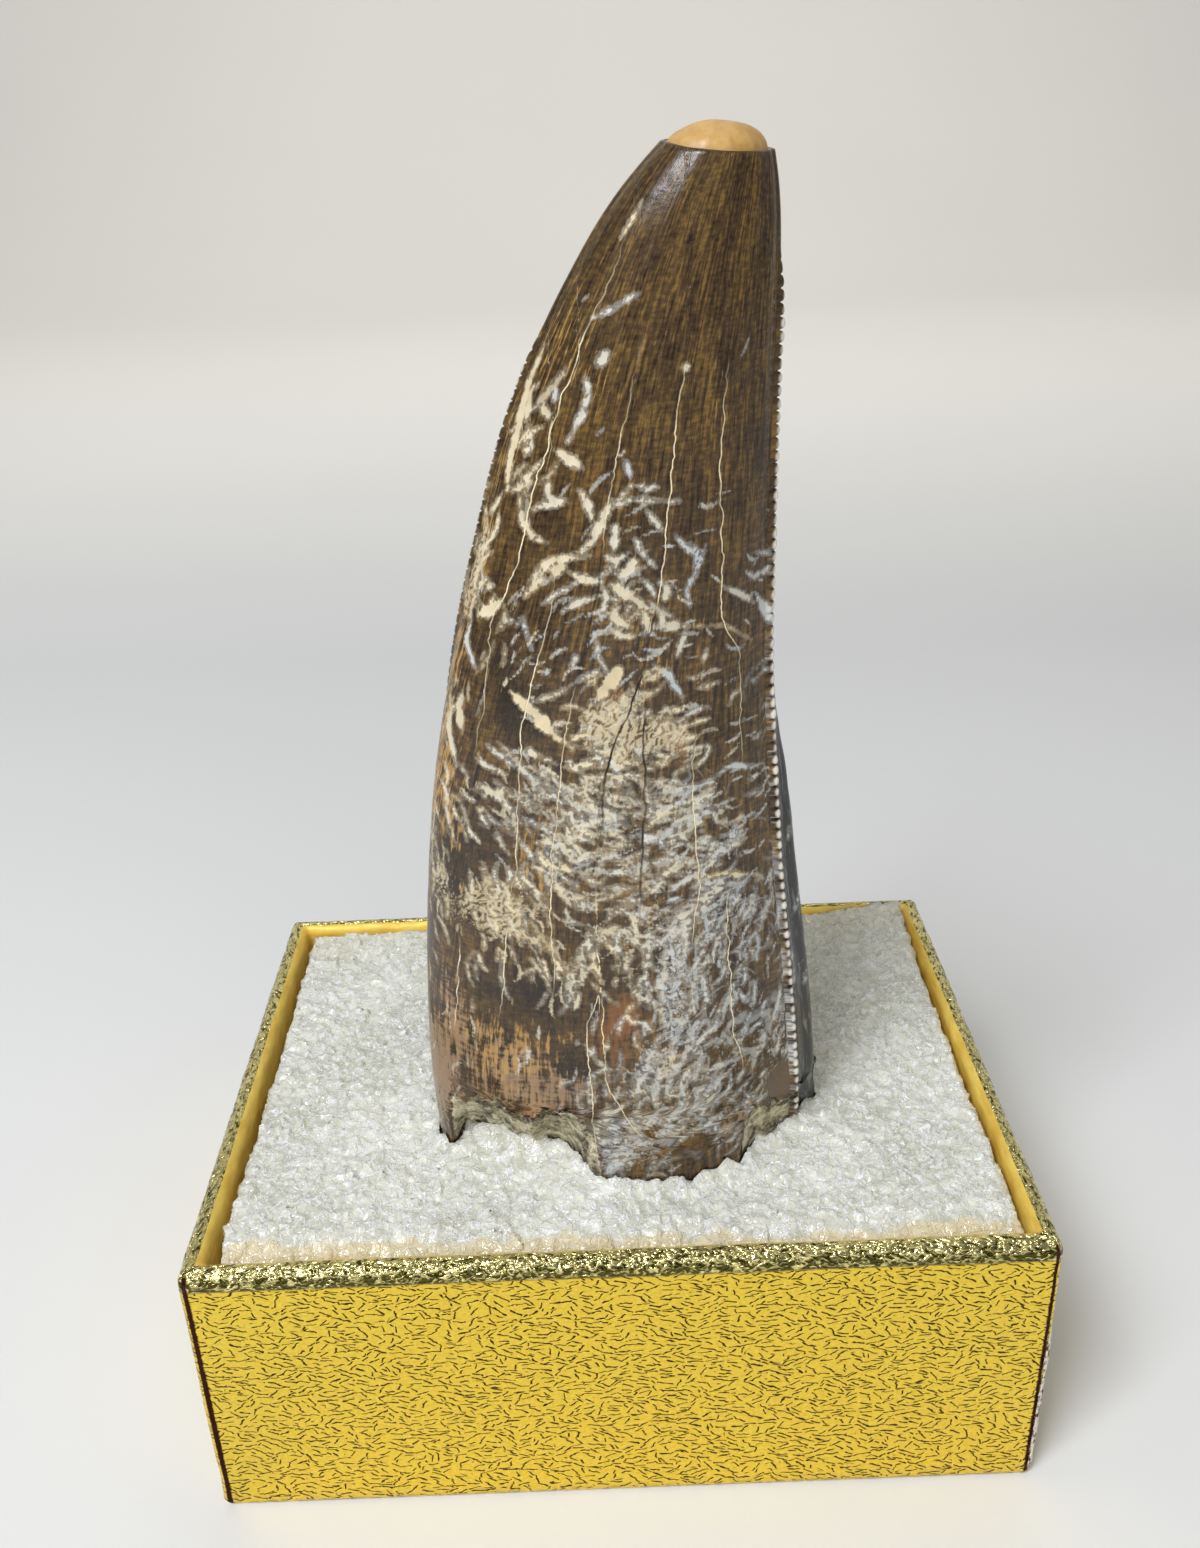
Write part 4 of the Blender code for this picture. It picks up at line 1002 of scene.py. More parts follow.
    # Cracks about 0.1 mm wide where pale mineral fills them and 0.15 mm where they are open
    gap = add(tree, MATH, {0: near}, operation="ABSOLUTE")
    gap = layered(tree, gap, (fine, 0.08))
    line = add(tree, RANGE, {0: gap, 1: 0.110, 2: 0.062}, **EASED)
    wide = add(tree, RANGE, {0: gap, 1: 0.150, 2: 0.085}, **EASED)
    pale_line = add(tree, MATH, {0: line, 1: pale}, operation="MULTIPLY")
    dark_line = add(tree, MATH, {0: wide, 1: dark}, operation="MULTIPLY")

    # Denticles are worn pale with dark gaps, and a dark edge runs round the worn tip
    bead_share = add(tree, RANGE, {0: bead, 1: 0.45, 2: 0.72, 4: 0.92}, **EASED)
    ring_share = add(tree, MATH, {0: tip_ring, 1: 0.35}, operation="MULTIPLY")
    coats += [
        (folded, far_face),
        (crust_share, look.cream),
        (haze, look.frost),
        (wisp, pale_wisp),
        (mark, pale_mark),
        (pale_line, look.crack_filling),
        (dark_line, look.crack_shadow),
        (bead_share, look.denticle),
        (scar, look.scar),
        (ring_share, look.stain_dark),
    ]
    colour = coated(tree, ground, coats)

    # Dried mineral is matt, the polish between it is bright
    matt = add(tree, MATH, {0: crust, 1: mark}, operation="MAXIMUM")
    matt = add(tree, MATH, {0: matt, 1: haze}, operation="MAXIMUM")
    gloss = add(tree, RANGE, {0: matt, 3: look.polish, 4: 0.50})
    gloss = layered(tree, gloss, (fine, 0.10))
    relief = add(tree, MATH, {0: streak, 1: lines}, operation="SUBTRACT")
    depths = ((mark, -0.022), (crust, 0.018), (line, -0.035), (relief, 0.014), (fine, 0.010))
    height = layered(tree, 0.0, *depths)
    normal = add(tree, BUMP, {"Height": height, "Distance": MM, "Strength": 0.8})
    link(tree, shader, Base_Color=colour, Roughness=gloss, Normal=normal)
    return material


def bare_dentine(look):
    """Dentine worn bare at the tip: dense and fine, rubbed to a soft satin tan."""
    material, tree, shader = start_material("worn_dentine", {"IOR": 1.56})
    place = add(tree, "ShaderNodeTexCoord", output="Object")
    cloud = grain(tree, place, (0.0014, 0.0014, 0.0014), 3.0)
    speck = grain(tree, place, (0.00025, 0.00025, 0.00025), 2.0)
    mixed = layered(tree, cloud, (speck, 0.25))
    colour = add(tree, RAMP, {0: mixed}, stops=[(0.45, look.dentine_dark), (0.75, look.dentine)])
    gloss = add(tree, RANGE, {0: speck, 3: 0.34, 4: 0.5})
    normal = add(tree, BUMP, {"Height": speck, "Distance": 0.02 * MM, "Strength": 0.6})
    link(tree, shader, Base_Color=colour, Roughness=gloss, Normal=normal)
    return material


def sandy_matrix(look):
    """Dentine broken through and filled with sandy rock: rough and dull, with olive and grey crystals."""
    material, tree, shader = start_material("broken_sandy_matrix", {"IOR": 1.55})
    place = add(tree, "ShaderNodeTexCoord", output="Object")
    cloud = grain(tree, place, (0.0016, 0.0016, 0.0014), 4.0, 0.6, 0.8)
    sand = grain(tree, place, (0.0003, 0.0003, 0.0003), 3.0, 0.7)
    mixed = layered(tree, cloud, (sand, 0.5))
    stops = [(0.60, look.matrix_dark), (0.74, look.matrix), (0.86, look.matrix_pale)]
    colour = add(tree, RAMP, {0: mixed}, stops=stops)
    gloss = add(tree, RANGE, {0: sand, 1: 0.35, 2: 0.65, 3: 0.85, 4: 0.35})
    normal = add(tree, BUMP, {"Height": mixed, "Distance": 0.3 * MM, "Strength": 0.9})
    link(tree, shader, Base_Color=colour, Roughness=gloss, Normal=normal)
    return material


# The foam block, in millimetres

FOAM_LEFT, FOAM_RIGHT = -27.7, 28.0
FOAM_SIDE = 20.4
FOAM_FLOOR = 1.85
FOAM_TOP = 22.3
FOAM_SWELL = 0.35
FOAM_CORNER_BULGE = 1.5
FOAM_FRONT_DIP = 0.8
HALF_BOX_X, HALF_BOX_Y, BOX_HEIGHT = 30.0, 22.5, 23.0
SLOT_GAP = 0.12
SLOT_FLOOR = 11.4
SLOT_LEVELS = (20.6, 19.0, 16.0, SLOT_FLOOR)
SIDE_DEPTHS = (0.25, 0.55, 0.95, 1.5, 2.3, 3.6, 5.5, 9.0, 14.0)  # of the rings of points down the sides
FOAM_PAINTED_GLINT = (1.0, 1.0, 0.93, 1.0)  # the linear colour of a film's folded edge, a painted highlight
RISE_X, RISE_WIDTH = -6.8, 4.6  # where the foam swells in front of the tooth


def foam_height(x, y):
    """The foam's uneven top: gentle swells, a dip along the front, a bulge at the back right corner."""
    u = x / HALF_BOX_X
    v = y / HALF_BOX_Y
    swell = np.sin(3.1 * u + 0.4) * np.sin(2.7 * v + 1.1) + 0.5 * np.sin(7.3 * u + 2.0) * np.sin(6.1 * v)
    corner = smooth(0.45, 0.95, u) * smooth(0.4, 0.9, v)
    dip = smooth(-0.80, -0.93, v)
    return FOAM_TOP + FOAM_SWELL * swell + FOAM_CORNER_BULGE * corner - FOAM_FRONT_DIP * dip


def torn_cells(places, size, seed, slope):
    """The height of cut cells: tilted films, each with its own level and lean and a thin wall round it."""
    way, wall, number = cell_noise(places / size, seed)
    lean = number * 37.0  # radians, so that each cell leans its own way
    tilt = way[:, 0] * np.cos(lean) + way[:, 1] * np.sin(lean)
    cup = (way**2).sum(axis=1)
    return size * (0.45 * (number - 0.5) + slope * tilt + 0.35 * cup - 0.12 * smooth(0.12, 0.0, wall))


def slot_outline(z, count=400):
    """The tooth's own outline at a height, grown by the gap that the foam leaves."""
    angles = np.linspace(0, 2 * np.pi, count, endpoint=False)
    ring = section_at(angles, np.full(count, z))[:, :2]
    ahead = np.roll(ring, -1, axis=0) - np.roll(ring, 1, axis=0)
    outward = np.stack([ahead[:, 1], -ahead[:, 0]], axis=1)
    outward /= np.linalg.norm(outward, axis=1, keepdims=True)
    if np.einsum("ij,ij->i", outward, ring - ring.mean(axis=0)).mean() < 0:
        outward = -outward
    return ring + outward * SLOT_GAP, outward


def distance_to_slot(places, ring, outward):
    """The distance of places from the slot's outline, outside positive, and the outline's nearest point."""
    tree = kdtree.KDTree(len(ring))
    for index, (x, y) in enumerate(ring.tolist()):
        tree.insert((x, y, 0), index)
    tree.balance()
    found = [tree.find((x, y, 0))[1] for x, y in places.tolist()]
    offset = places - ring[found]
    side = np.einsum("ij,ij->i", offset, outward[found])
    return np.sign(side) * np.hypot(offset[:, 0], offset[:, 1]), ring[found]


def foam_top(look, places, away, inset):
    """The top's heights: torn cells on the foam's swells, a lip round the slot, and worn edges."""
    x, y = places.T
    flat = np.column_stack([places, 0 * x])
    warp = 0.25 * np.stack([soft_noise(flat / 0.8, 31), soft_noise(flat / 0.8, 32)], axis=1)
    coarse = torn_cells(places + warp, look.cell_size, 21, 0.75)
    middle = torn_cells(places + 2 * warp, look.cell_size * 0.5, 22, 1.0)
    relief = look.crinkle * (coarse * 0.8 + middle * 0.6 + 0.20 * rough_noise(flat / 2.2, 33))
    lip = np.exp(-((away / 0.9) ** 2)) * (0.35 + 0.5 * soft_noise(flat / 0.9, 34))
    worn = 0.45 * smooth(0.9, 0.0, inset) ** 2 * (0.8 + 0.6 * soft_noise(flat / 1.3, 35))
    rise = look.front_rise * np.exp(-((away / 2.6) ** 2)) * np.exp(-(((x - RISE_X) / RISE_WIDTH) ** 2))
    rise *= smooth(-4.0, -8.0, y)
    return foam_height(x, y) + relief + lip + rise - worn + 0.12


def add_foam_sides(skin, border):
    """Ragged sides down from the top's border, and a flat underside."""
    upper = skin.all_points()[border]
    last = border
    for depth in SIDE_DEPTHS:
        lower = upper.copy()
        lower[:, 2] = np.minimum(lower[:, 2] - depth * 0.6, FOAM_TOP - depth)
        pull = np.abs(0.30 * rough_noise(lower / 0.9, 37) * np.exp(-depth / 6)) + 0.05
        lower[:, 0] -= np.sign(lower[:, 0]) * pull * (np.abs(lower[:, 0]) > FOAM_RIGHT - 2)
        lower[:, 1] -= np.sign(lower[:, 1]) * pull * (np.abs(lower[:, 1]) > FOAM_SIDE - 0.5)
        ids = skin.add_points(lower)
        skin.add_grid(np.stack([last, ids]), closed=True)
        last = ids
    base = skin.add_points(upper * (1, 1, 0) + (0, 0, FOAM_FLOOR))
    skin.add_grid(np.stack([last, base]), closed=True)
    skin.add_faces([base.tolist()])


def painted_paper_bounce(points):
    """How much painted gold bounce light from the paper each point gets: most at the front edge and down the
    sides.
    """
    front_gap = points[:, 1] + FOAM_SIDE + 0.5 * soft_noise(points / 1.2, 38)
    side_gap = FOAM_RIGHT - np.abs(points[:, 0]) + 0.4 * soft_noise(points / 1.2, 39)
    back_gap = FOAM_SIDE - points[:, 1] + 2.0 * soft_noise(points / 2.5, 40)
    tints = (
        smooth(1.7, 0.7, front_gap),
        0.7 * smooth(1.2, 0.2, side_gap),
        0.42 * smooth(9.0, 1.0, back_gap),
        smooth(FOAM_TOP - 1.5, FOAM_TOP - 3.0, points[:, 2]),
    )
    return np.maximum.reduce(tints)


def make_foam(look):
    """A block of cut polyethylene foam: torn cells on top, ragged sides and a slot that grips the tooth."""
    columns = int((FOAM_RIGHT - FOAM_LEFT) / look.foam_step) + 1
    rows = int(2 * FOAM_SIDE / look.foam_step) + 1
    x = np.linspace(FOAM_LEFT, FOAM_RIGHT, columns)
    y = np.linspace(-FOAM_SIDE, FOAM_SIDE, rows)
    places = np.stack(np.meshgrid(x, y), axis=-1).reshape(-1, 2)
    x, y = places.T
    jitter = np.random.default_rng(look.seed).uniform(-0.25, 0.25, places.shape) * look.foam_step
    away, nearest = distance_to_slot(places, *slot_outline(FOAM_TOP))
    inset = np.minimum.reduce([x - FOAM_LEFT, FOAM_RIGHT - x, FOAM_SIDE - np.abs(y)])
    snap = (away < 0) & (away > -0.75 * look.foam_step)
    moved = places + jitter
    moved[snap] = nearest[snap]
    flat = np.column_stack([places, 0 * x])
    ragged = 0.30 * (1 + soft_noise(flat / 1.1, 36)) * smooth(0.5, 0.0, inset)
    moved[:, 0] -= np.sign(x) * ragged * (np.abs(x) > 20) * smooth(0.4, 0.0, inset)
    top = np.column_stack([moved, foam_top(look, places, away, inset)])
    keep = (away > 0) | snap
    skin = Skin()
    ids = np.full(len(places), -1)
    ids[keep] = skin.add_points(top[keep])
    ids = ids.reshape(rows, columns)
    quads = np.stack([ids[:-1, :-1], ids[:-1, 1:], ids[1:, 1:], ids[1:, :-1]], axis=-1).reshape(-1, 4)
    skin.add_faces(quads[(quads >= 0).all(axis=1)].tolist())
    three = quads[(quads >= 0).sum(axis=1) == 3]
    skin.add_faces([[i for i in quad if i >= 0] for quad in three.tolist()])
    add_foam_sides(skin, np.concatenate([ids[0, :-1], ids[:-1, -1], ids[-1, :0:-1], ids[:0:-1, 0]]))
    line_slot(skin)
    # The foam's numbers hold the share of painted gold bounce light from the paper
    numbers = {"foam": painted_paper_bounce(skin.all_points())}
    foam = skin.build("cellular_foam", [cut_foam(look)], sharp=50, numbers=numbers)
    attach(foam, "root")
    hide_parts("foam_block")
    return foam


def line_slot(skin):
    """Walls and a floor for the hole that the top leaves round the tooth."""
    sides = dict.fromkeys(pair for face in skin.faces for pair in zip(face, face[1:] + face[:1]))
    onward = {b: a for a, b in sides if (b, a) not in sides}
    points = skin.all_points()
    start = next(iter(onward))
    loop = [start]
    while onward[loop[-1]] != start:
        loop.append(onward[loop[-1]])
    last = np.array(loop)
    shape = points[last]
    for z in SLOT_LEVELS:
        lower = shape.copy()
        lower[:, 2] = z
        ids = skin.add_points(lower)
        skin.add_grid(np.stack([last, ids]), closed=True)
        last = ids
    skin.add_faces([last.tolist()])


def cut_foam(look):
    """Blown polyethylene, cut: clear films over air look white, the folded edges of some films carry painted
    glints, and near the paper the foam carries painted gold bounce light.
    """
    values = {"IOR": 1.51, "Specular IOR Level": 0.9, "Subsurface Weight": 0.55, "Subsurface Scale": 0.0014}
    values["Subsurface Radius"] = (1.0, 1.0, 1.0)
    material, tree, shader = start_material("cut_polyethylene_foam", values)
    place = add(tree, "ShaderNodeTexCoord", output="Object")
    paper_bounce_share = add(tree, ATTRIBUTE, output="Fac", attribute_name="foam")
    patch = grain(tree, place, (0.009, 0.009, 0.004), 2.0)
    film = grain(tree, place, (0.0005, 0.0005, 0.0005), 2.0, 0.6, 0.5)

    # Films 0.8 mm across, crumpled where they were cut
    sheet = add(tree, VECTOR, {0: place, 1: (1250.0, 1250.0, 1250.0)}, operation="MULTIPLY")
    warp = add(tree, NOISE, {"Vector": sheet, "Scale": 1.1, "Detail": 2.0}, "Color")
    sheet = add(tree, VECTOR, {0: warp, 1: (1.8, 1.8, 1.8), 2: sheet}, operation="MULTIPLY_ADD")
    sheet = {"Vector": sheet, "Scale": 1.0}
    walls = add(tree, CELLS, sheet, "Distance", feature="DISTANCE_TO_EDGE")
    cell = add(tree, SPLIT, {0: add(tree, CELLS, sheet, "Color")})
    bright = layered(tree, patch, (cell, 0.35))
    colour = add(tree, RAMP, {0: bright}, stops=[(0.32, look.foam_shade), (0.90, look.foam_white)])
    # Painted glints: some thin film edges are coloured near white
    thin = add(tree, RANGE, {0: walls, 1: 0.13, 2: 0.07}, **EASED)
    torn = add(tree, RANGE, {0: film, 1: 0.44, 2: 0.52}, **EASED)
    painted_film_glint = add(tree, MATH, {0: thin, 1: torn}, operation="MULTIPLY")
    # Painted gold bounce light from the paper, strongest near the front edge and down the sides
    edge = add(tree, RANGE, {0: layered(tree, paper_bounce_share, (film, 0.4)), 1: 0.35, 2: 1.10, 4: 0.9}, **EASED)
    colour = coated(tree, colour, [(painted_film_glint, FOAM_PAINTED_GLINT), (edge, look.foam_bounce_colour)])
    gloss = add(tree, RANGE, {0: cell, 3: 0.04, 4: 0.24})
    fold = add(tree, RANGE, {0: walls, 2: 0.14, 3: 1.0, 4: 0.0}, **EASED)
    height = layered(tree, film, (fold, 0.5))
    normal = add(tree, BUMP, {"Height": height, "Distance": 0.22 * MM, "Strength": 0.8})
    link(tree, shader, Base_Color=colour, Roughness=gloss, Normal=normal)
    return material


# The box, in millimetres

CORNER_RADIUS = 0.7
PAPER = 0.3
RIM = 1.9
BOTTOM_EDGE = 0.5
HEM = 11.0
SEAM_WIDTH = 0.12
SEAM_RUNS = (0.0, 0.2)  # where the seams stand in the front corners' curves, in mm past each end of the front
RIM_START = 21.6  # above this height the foil is crumpled and its colour is a painted reflection
GROOVE_HALF_LENGTH = 0.40
INNER_START = 1.25  # from this inset inwards the paper is plain
TORN_EDGE = (0.6, 15.5)  # heights between which the torn edge stands


def box_outline(step):
    """Round the box from the front's left end: the corners' centres, ways outward and the way round in mm."""
    radius = CORNER_RADIUS
    centres = np.array([(-1, -1), (1, -1), (1, 1), (-1, 1)], float)
    centres = centres * (HALF_BOX_X - radius, HALF_BOX_Y - radius)
    middle, angle = [], []
    for k in range(4):
        start, end = centres[k], centres[(k + 1) % 4]
        outward = (k - 1) * math.pi / 2
        length = np.linalg.norm(end - start)
        share = np.arange(int(length / step)) / int(length / step)
        middle.extend(start + (end - start) * share[:, None])
        angle.extend([outward] * len(share))
        turns = np.arange(9) / 9
        middle.extend([end] * len(turns))
        angle.extend(outward + turns * math.pi / 2)
    middle = np.array(middle)
    angle = np.array(angle)
    outward = np.stack([np.cos(angle), np.sin(angle)], axis=1)
    points = middle + outward * radius
    run = np.concatenate([[0], np.cumsum(np.linalg.norm(np.diff(points, axis=0), axis=1))])
    return middle, outward, run


def box_ring(middle, outward, inset):
    """The ring of points at a distance in from the box's outer face."""
    radius = max(CORNER_RADIUS - inset, 0.25)
    pull = inset - (CORNER_RADIUS - radius)
    size = np.array((HALF_BOX_X - CORNER_RADIUS, HALF_BOX_Y - CORNER_RADIUS))
    return middle * (size - pull) / size + outward * radius


def rim_arc(outer, inner, top, steps):
    """The rounded top edge between two walls, as inset and height."""
    radius = (inner - outer) / 2
    turn = np.linspace(0, math.pi, steps + 1)
    return list(zip(outer + radius - radius * np.cos(turn), top - radius + radius * np.sin(turn)))


def foil_profile():
    """The paper's section, as inset and height: the side that shows, then the side glued to the board."""
    visible = [(BOTTOM_EDGE, 0.0), (0.2, 0.12), (0.0, BOTTOM_EDGE)]
    visible += [(0.0, z) for z in np.arange(1.5, BOX_HEIGHT - RIM / 2 - 0.4, 1.0)]
    visible += rim_arc(0.0, RIM, BOX_HEIGHT, 16)
    visible += [(RIM, z) for z in np.arange(BOX_HEIGHT - RIM, HEM, -1.2)]
    hidden = [(RIM, HEM), (RIM - PAPER, HEM), *rim_arc(PAPER, RIM - PAPER, BOX_HEIGHT - PAPER, 8)[::-1]]
    hidden += [(PAPER, BOTTOM_EDGE + PAPER / 2), (BOTTOM_EDGE + PAPER / 2, PAPER)]
    return visible, hidden


def make_foil_paper(look):
    """Gold foil paper: under the floor, up the outside, over the creased rim and down to its hem inside."""
    middle, outward, run = box_outline(look.foil_step)
    visible, hidden = foil_profile()
    profile = visible + hidden
    front_end = 2 * (HALF_BOX_X - CORNER_RADIUS)
    left = np.minimum(run - SEAM_RUNS[0], run[-1] - run) % run[-1]
    right = np.abs(run - front_end - SEAM_RUNS[1])
    skin = Skin()
    rows, wall, seams = [], [], []
    travelled = 0.0
    last = profile[0]
    for index, (inset, height) in enumerate(profile):
        travelled += math.hypot(inset - last[0], height - last[1])
        last = (inset, height)
        ring = box_ring(middle, outward, inset)
        points = np.concatenate([ring, np.full((len(ring), 1), height)], axis=1)
        top = smooth(BOX_HEIGHT - 2.2, BOX_HEIGHT - 1.2, height)
        if index < len(visible):
            place = np.stack([run, np.full(len(run), travelled), 0 * run], axis=1)
            crease = rough_noise(place / (0.9, 0.8, 1.0), 51)
            crease = crease + 0.6 * rough_noise(place / (1.5, 0.5, 1.0), 52, 2)
            crease = crease * look.rim_crease * top
            slack = 0.07 * soft_noise(place / 9.0, 53) + 0.03 * soft_noise(place / (2.6, 2.6, 1), 54) - 0.08
            slack = slack * smooth(0.0, 3.0, height)
            turn = min(inset / RIM, 1.0) * math.pi
            points[:, :2] += outward * ((crease * 0.6 + slack) * math.cos(turn))[:, None]
            points[:, 2] += crease * 0.5 * math.sin(turn) - 0.12 * top
        rows.append(skin.add_points(points))
        wall.append(np.stack([run, np.full(len(run), travelled), np.full(len(run), height)], axis=1))
        outside = 1.0 if inset < 0.3 else 0.0
        seams.append(np.stack([left, right, np.full(len(run), outside)], axis=1))
    rows = np.array(rows)
    within = next(index for index, (inset, _) in enumerate(visible) if inset > INNER_START)
    skin.add_grid(rows[: within + 1], 0, closed=True)
    skin.add_grid(rows[within : len(visible) + 1], 1, closed=True)
    skin.add_grid(rows[len(visible) :], 0, closed=True)
    skin.add_faces([rows[0].tolist(), rows[-1].tolist()])
    numbers = {"wall": np.concatenate(wall), "seams": np.concatenate(seams)}
    paper = skin.build("foil_paper", [gold_foil(look), inner_foil(look)], sharp=50, numbers=numbers)
    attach(paper, "root")
    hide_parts("foil_wrap")
    return paper


def make_torn_edge(look):
    """The paper's torn white edge, left standing along the lower part of the right front corner."""
    heights = np.linspace(*TORN_EDGE, 90)
    along = np.stack([heights / 0.7, 0 * heights, 0 * heights], axis=1)
    ends = smooth(0, 0.8, heights - TORN_EDGE[0]) * smooth(0, 2.5, TORN_EDGE[1] - heights)
    width = (0.22 + 0.14 * rough_noise(along, 71)) * ends + 0.02
    sway = 0.05 * soft_noise(along / 3, 72)
    corner = np.array((HALF_BOX_X, -HALF_BOX_Y)) + (-0.16, 0.16)
    across, away = np.array((0.7, 0.7)), np.array((0.7, -0.7))
    section = [(-1, -0.6), (-0.4, 0.2), (0.5, 0.5), (1, 0.1), (0.3, -0.4), (-0.5, -0.9)]
    rows = []
    for side, lift in section:
        place = corner + np.outer(side * width + sway, across) + np.outer(lift * 0.09 * ends, away)
        rows.append(np.column_stack([place, heights]))
    skin = Skin()
    ids = skin.add_points(np.stack(rows, axis=1))
    skin.add_grid(ids, closed=True)
    skin.add_faces([ids[0].tolist(), ids[-1].tolist()])
    edge = skin.build("torn_paper_edge", [torn_paper(look)], sharp=60)
    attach(edge, "root")
    return edge


def torn_paper(look):
    """Paper torn across: pale fibres stand up matt, with brown glue showing between them."""
    material, tree, shader = start_material("torn_paper_edge", {"Roughness": 0.9})
    place = add(tree, "ShaderNodeTexCoord", output="Object")
    fibre = grain(tree, place, (0.0003, 0.0003, 0.0005), 3.0)
    colour = add(tree, RAMP, {0: fibre}, stops=[(0.38, look.seam), (0.52, look.torn_paper)])
    normal = add(tree, BUMP, {"Height": fibre, "Distance": 0.05 * MM, "Strength": 0.7})
    link(tree, shader, Base_Color=colour, Normal=normal)
    return material


def gold_foil(look):
    """Aluminium foil on paper under a yellow lacquer, rolled: satin gold, with painted shade in its short
    pressed grooves and painted reflection on its rim.
    """
    material, tree, shader = start_material("embossed_gold_foil", {"Metallic": 1.0})
    place = add(tree, ATTRIBUTE, output="Vector", attribute_name="wall")
    _, _, height = read_numbers(tree, "wall")
    left, right, outside = read_numbers(tree, "seams")
    rim = add(tree, RANGE, {0: height, 1: RIM_START - 0.1, 2: RIM_START + 0.1}, **EASED)
    plain = add(tree, MATH, {0: 1.0, 1: rim}, operation="SUBTRACT")

    # Pressed grooves, one to a cell twice as long as it is high; their dark colour is painted shade
    flat = add(tree, VECTOR, {0: place, 1: (1.0, 1.0, 0.0)}, operation="MULTIPLY")
    pitch = (2 * look.groove_step, look.groove_step, 1.0)
    away = from_strokes(tree, flat, pitch, GROOVE_HALF_LENGTH)
    groove = add(tree, RANGE, {0: away, 1: 0.070, 2: 0.034}, **EASED)
    groove = add(tree, MATH, {0: groove, 1: plain}, operation="MULTIPLY")

    # The rim is crumpled in folds half a millimetre apart that catch the light. Its colour is painted
    # reflection: dark olive, with painted glints on the folds' crests and a painted highlight along its top
    satin = grain(tree, flat, (0.30, 0.22, 1.0), 3.0, 0.6)
    crumple = grain(tree, flat, (0.56, 0.36, 1.0), 1.5, 0.5, 1.1)
    gold = add(tree, RAMP, {0: satin}, stops=[(0.35, look.gold_deep), (0.65, look.gold)])
    # worn: a painted highlight that brightens the very top of the rim
    worn = add(tree, RANGE, {0: height, 1: BOX_HEIGHT - 0.75, 2: BOX_HEIGHT - 0.25, 4: 0.14}, **EASED)
    rim_reflection_paint = add(tree, MATH, {0: crumple, 1: worn}, operation="ADD")
    # Dark olive is painted reflection, and the bright end paints glints on the folds' crests
    rim_reflection_paint = add(tree, RAMP, {0: rim_reflection_paint}, stops=[(0.48, look.rim_dark_reflection), (0.68, look.rim_highlight_colour)])
    seam = add(tree, MATH, {0: left, 1: right}, operation="MINIMUM")
    seam = layered(tree, seam, (satin, 0.25))
    seam = add(tree, RANGE, {0: seam, 1: SEAM_WIDTH + 0.22, 2: SEAM_WIDTH + 0.10}, **EASED)
    seam = add(tree, MATH, {0: seam, 1: outside}, operation="MULTIPLY")
    colour = coated(tree, gold, [(groove, look.groove), (rim, rim_reflection_paint), (seam, look.seam)])

    gloss = add(tree, RANGE, {0: satin, 3: 0.30, 4: 0.44})
    gloss = add(tree, MIX, {0: rim, 2: gloss, 3: 0.17})
    gloss = layered(tree, gloss, (seam, 0.4))
    swell = add(tree, RANGE, {0: away, 1: 0.04, 2: 0.24, 4: 0.030})
    swell = add(tree, MATH, {0: swell, 1: plain}, operation="MULTIPLY")
    folds = add(tree, MATH, {0: crumple, 1: rim}, operation="MULTIPLY")
    emboss = layered(tree, swell, (groove, -0.06), (satin, 0.012), (folds, 0.42))
    normal = add(tree, BUMP, {"Height": emboss, "Distance": MM, "Strength": 0.75})
    link(tree, shader, Base_Color=colour, Roughness=gloss, Normal=normal)
    return material


def inner_foil(look):
    """The same paper inside, with no painted rim reflection: its lacquer is thick and scuffed, so it looks half
    painted.
    """
    values = {"Metallic": 0.2, "Specular IOR Level": 0.3}
    material, tree, shader = start_material("plain_lacquered_foil", values)
    place = add(tree, "ShaderNodeTexCoord", output="Object")
    scuff = grain(tree, place, (0.0025, 0.0025, 0.0006), 3.0, 0.6)
    colour = add(tree, RAMP, {0: scuff}, stops=[(0.35, look.inner_shade), (0.65, look.inner_gold)])
    gloss = add(tree, RANGE, {0: scuff, 3: 0.38, 4: 0.55})
    normal = add(tree, BUMP, {"Height": scuff, "Distance": 0.05 * MM, "Strength": 0.5})
    link(tree, shader, Base_Color=colour, Roughness=gloss, Normal=normal)
    return material


def dress_board_tray(look):
    """Grey chipboard, pressed from waste paper: soft and matt, with fibres and flecks."""
    material, tree, shader = start_material("grey_chipboard", {"Roughness": 0.9})
    place = add(tree, "ShaderNodeTexCoord", output="Object")
    pulp = grain(tree, place, (0.0018, 0.0018, 0.0018), 4.0, 0.65)
    fibre = grain(tree, place, (0.0009, 0.0009, 0.00015), 2.0)
    mixed = layered(tree, pulp, (fibre, 0.4))
    colour = add(tree, RAMP, {0: mixed}, stops=[(0.55, look.board_dark), (0.85, look.board_pale)])
    normal = add(tree, BUMP, {"Height": mixed, "Distance": 0.08 * MM, "Strength": 0.6})
    link(tree, shader, Base_Color=colour, Normal=normal)
    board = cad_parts["board_tray"]
    board.data.materials.clear()
    board.data.materials.append(material)
    for slot in board.material_slots:
        slot.material = material


# The studio, in metres

CAMERA_PLACE = Vector((-0.0008, -0.0907, 0.0930))
CAMERA_LOOK = Vector((0.00643, 0.89670, -0.44260))
CAMERA_UP = Vector((0.03613, 0.44211, 0.89623))
SENSOR = 36.0
FOCAL_SHARE = 1380 / 1548  # the lens's focal length over the picture's height
FLOOR_FRONT, FLOOR_BACK, FLOOR_HALF_WIDTH = -1.6, 0.60, 2.4
SWEEP_RADIUS, SWEEP_HEIGHT = 0.45, 1.8
FLOOR_GAP = 0.00002  # under the box, so that the two faces don't meet


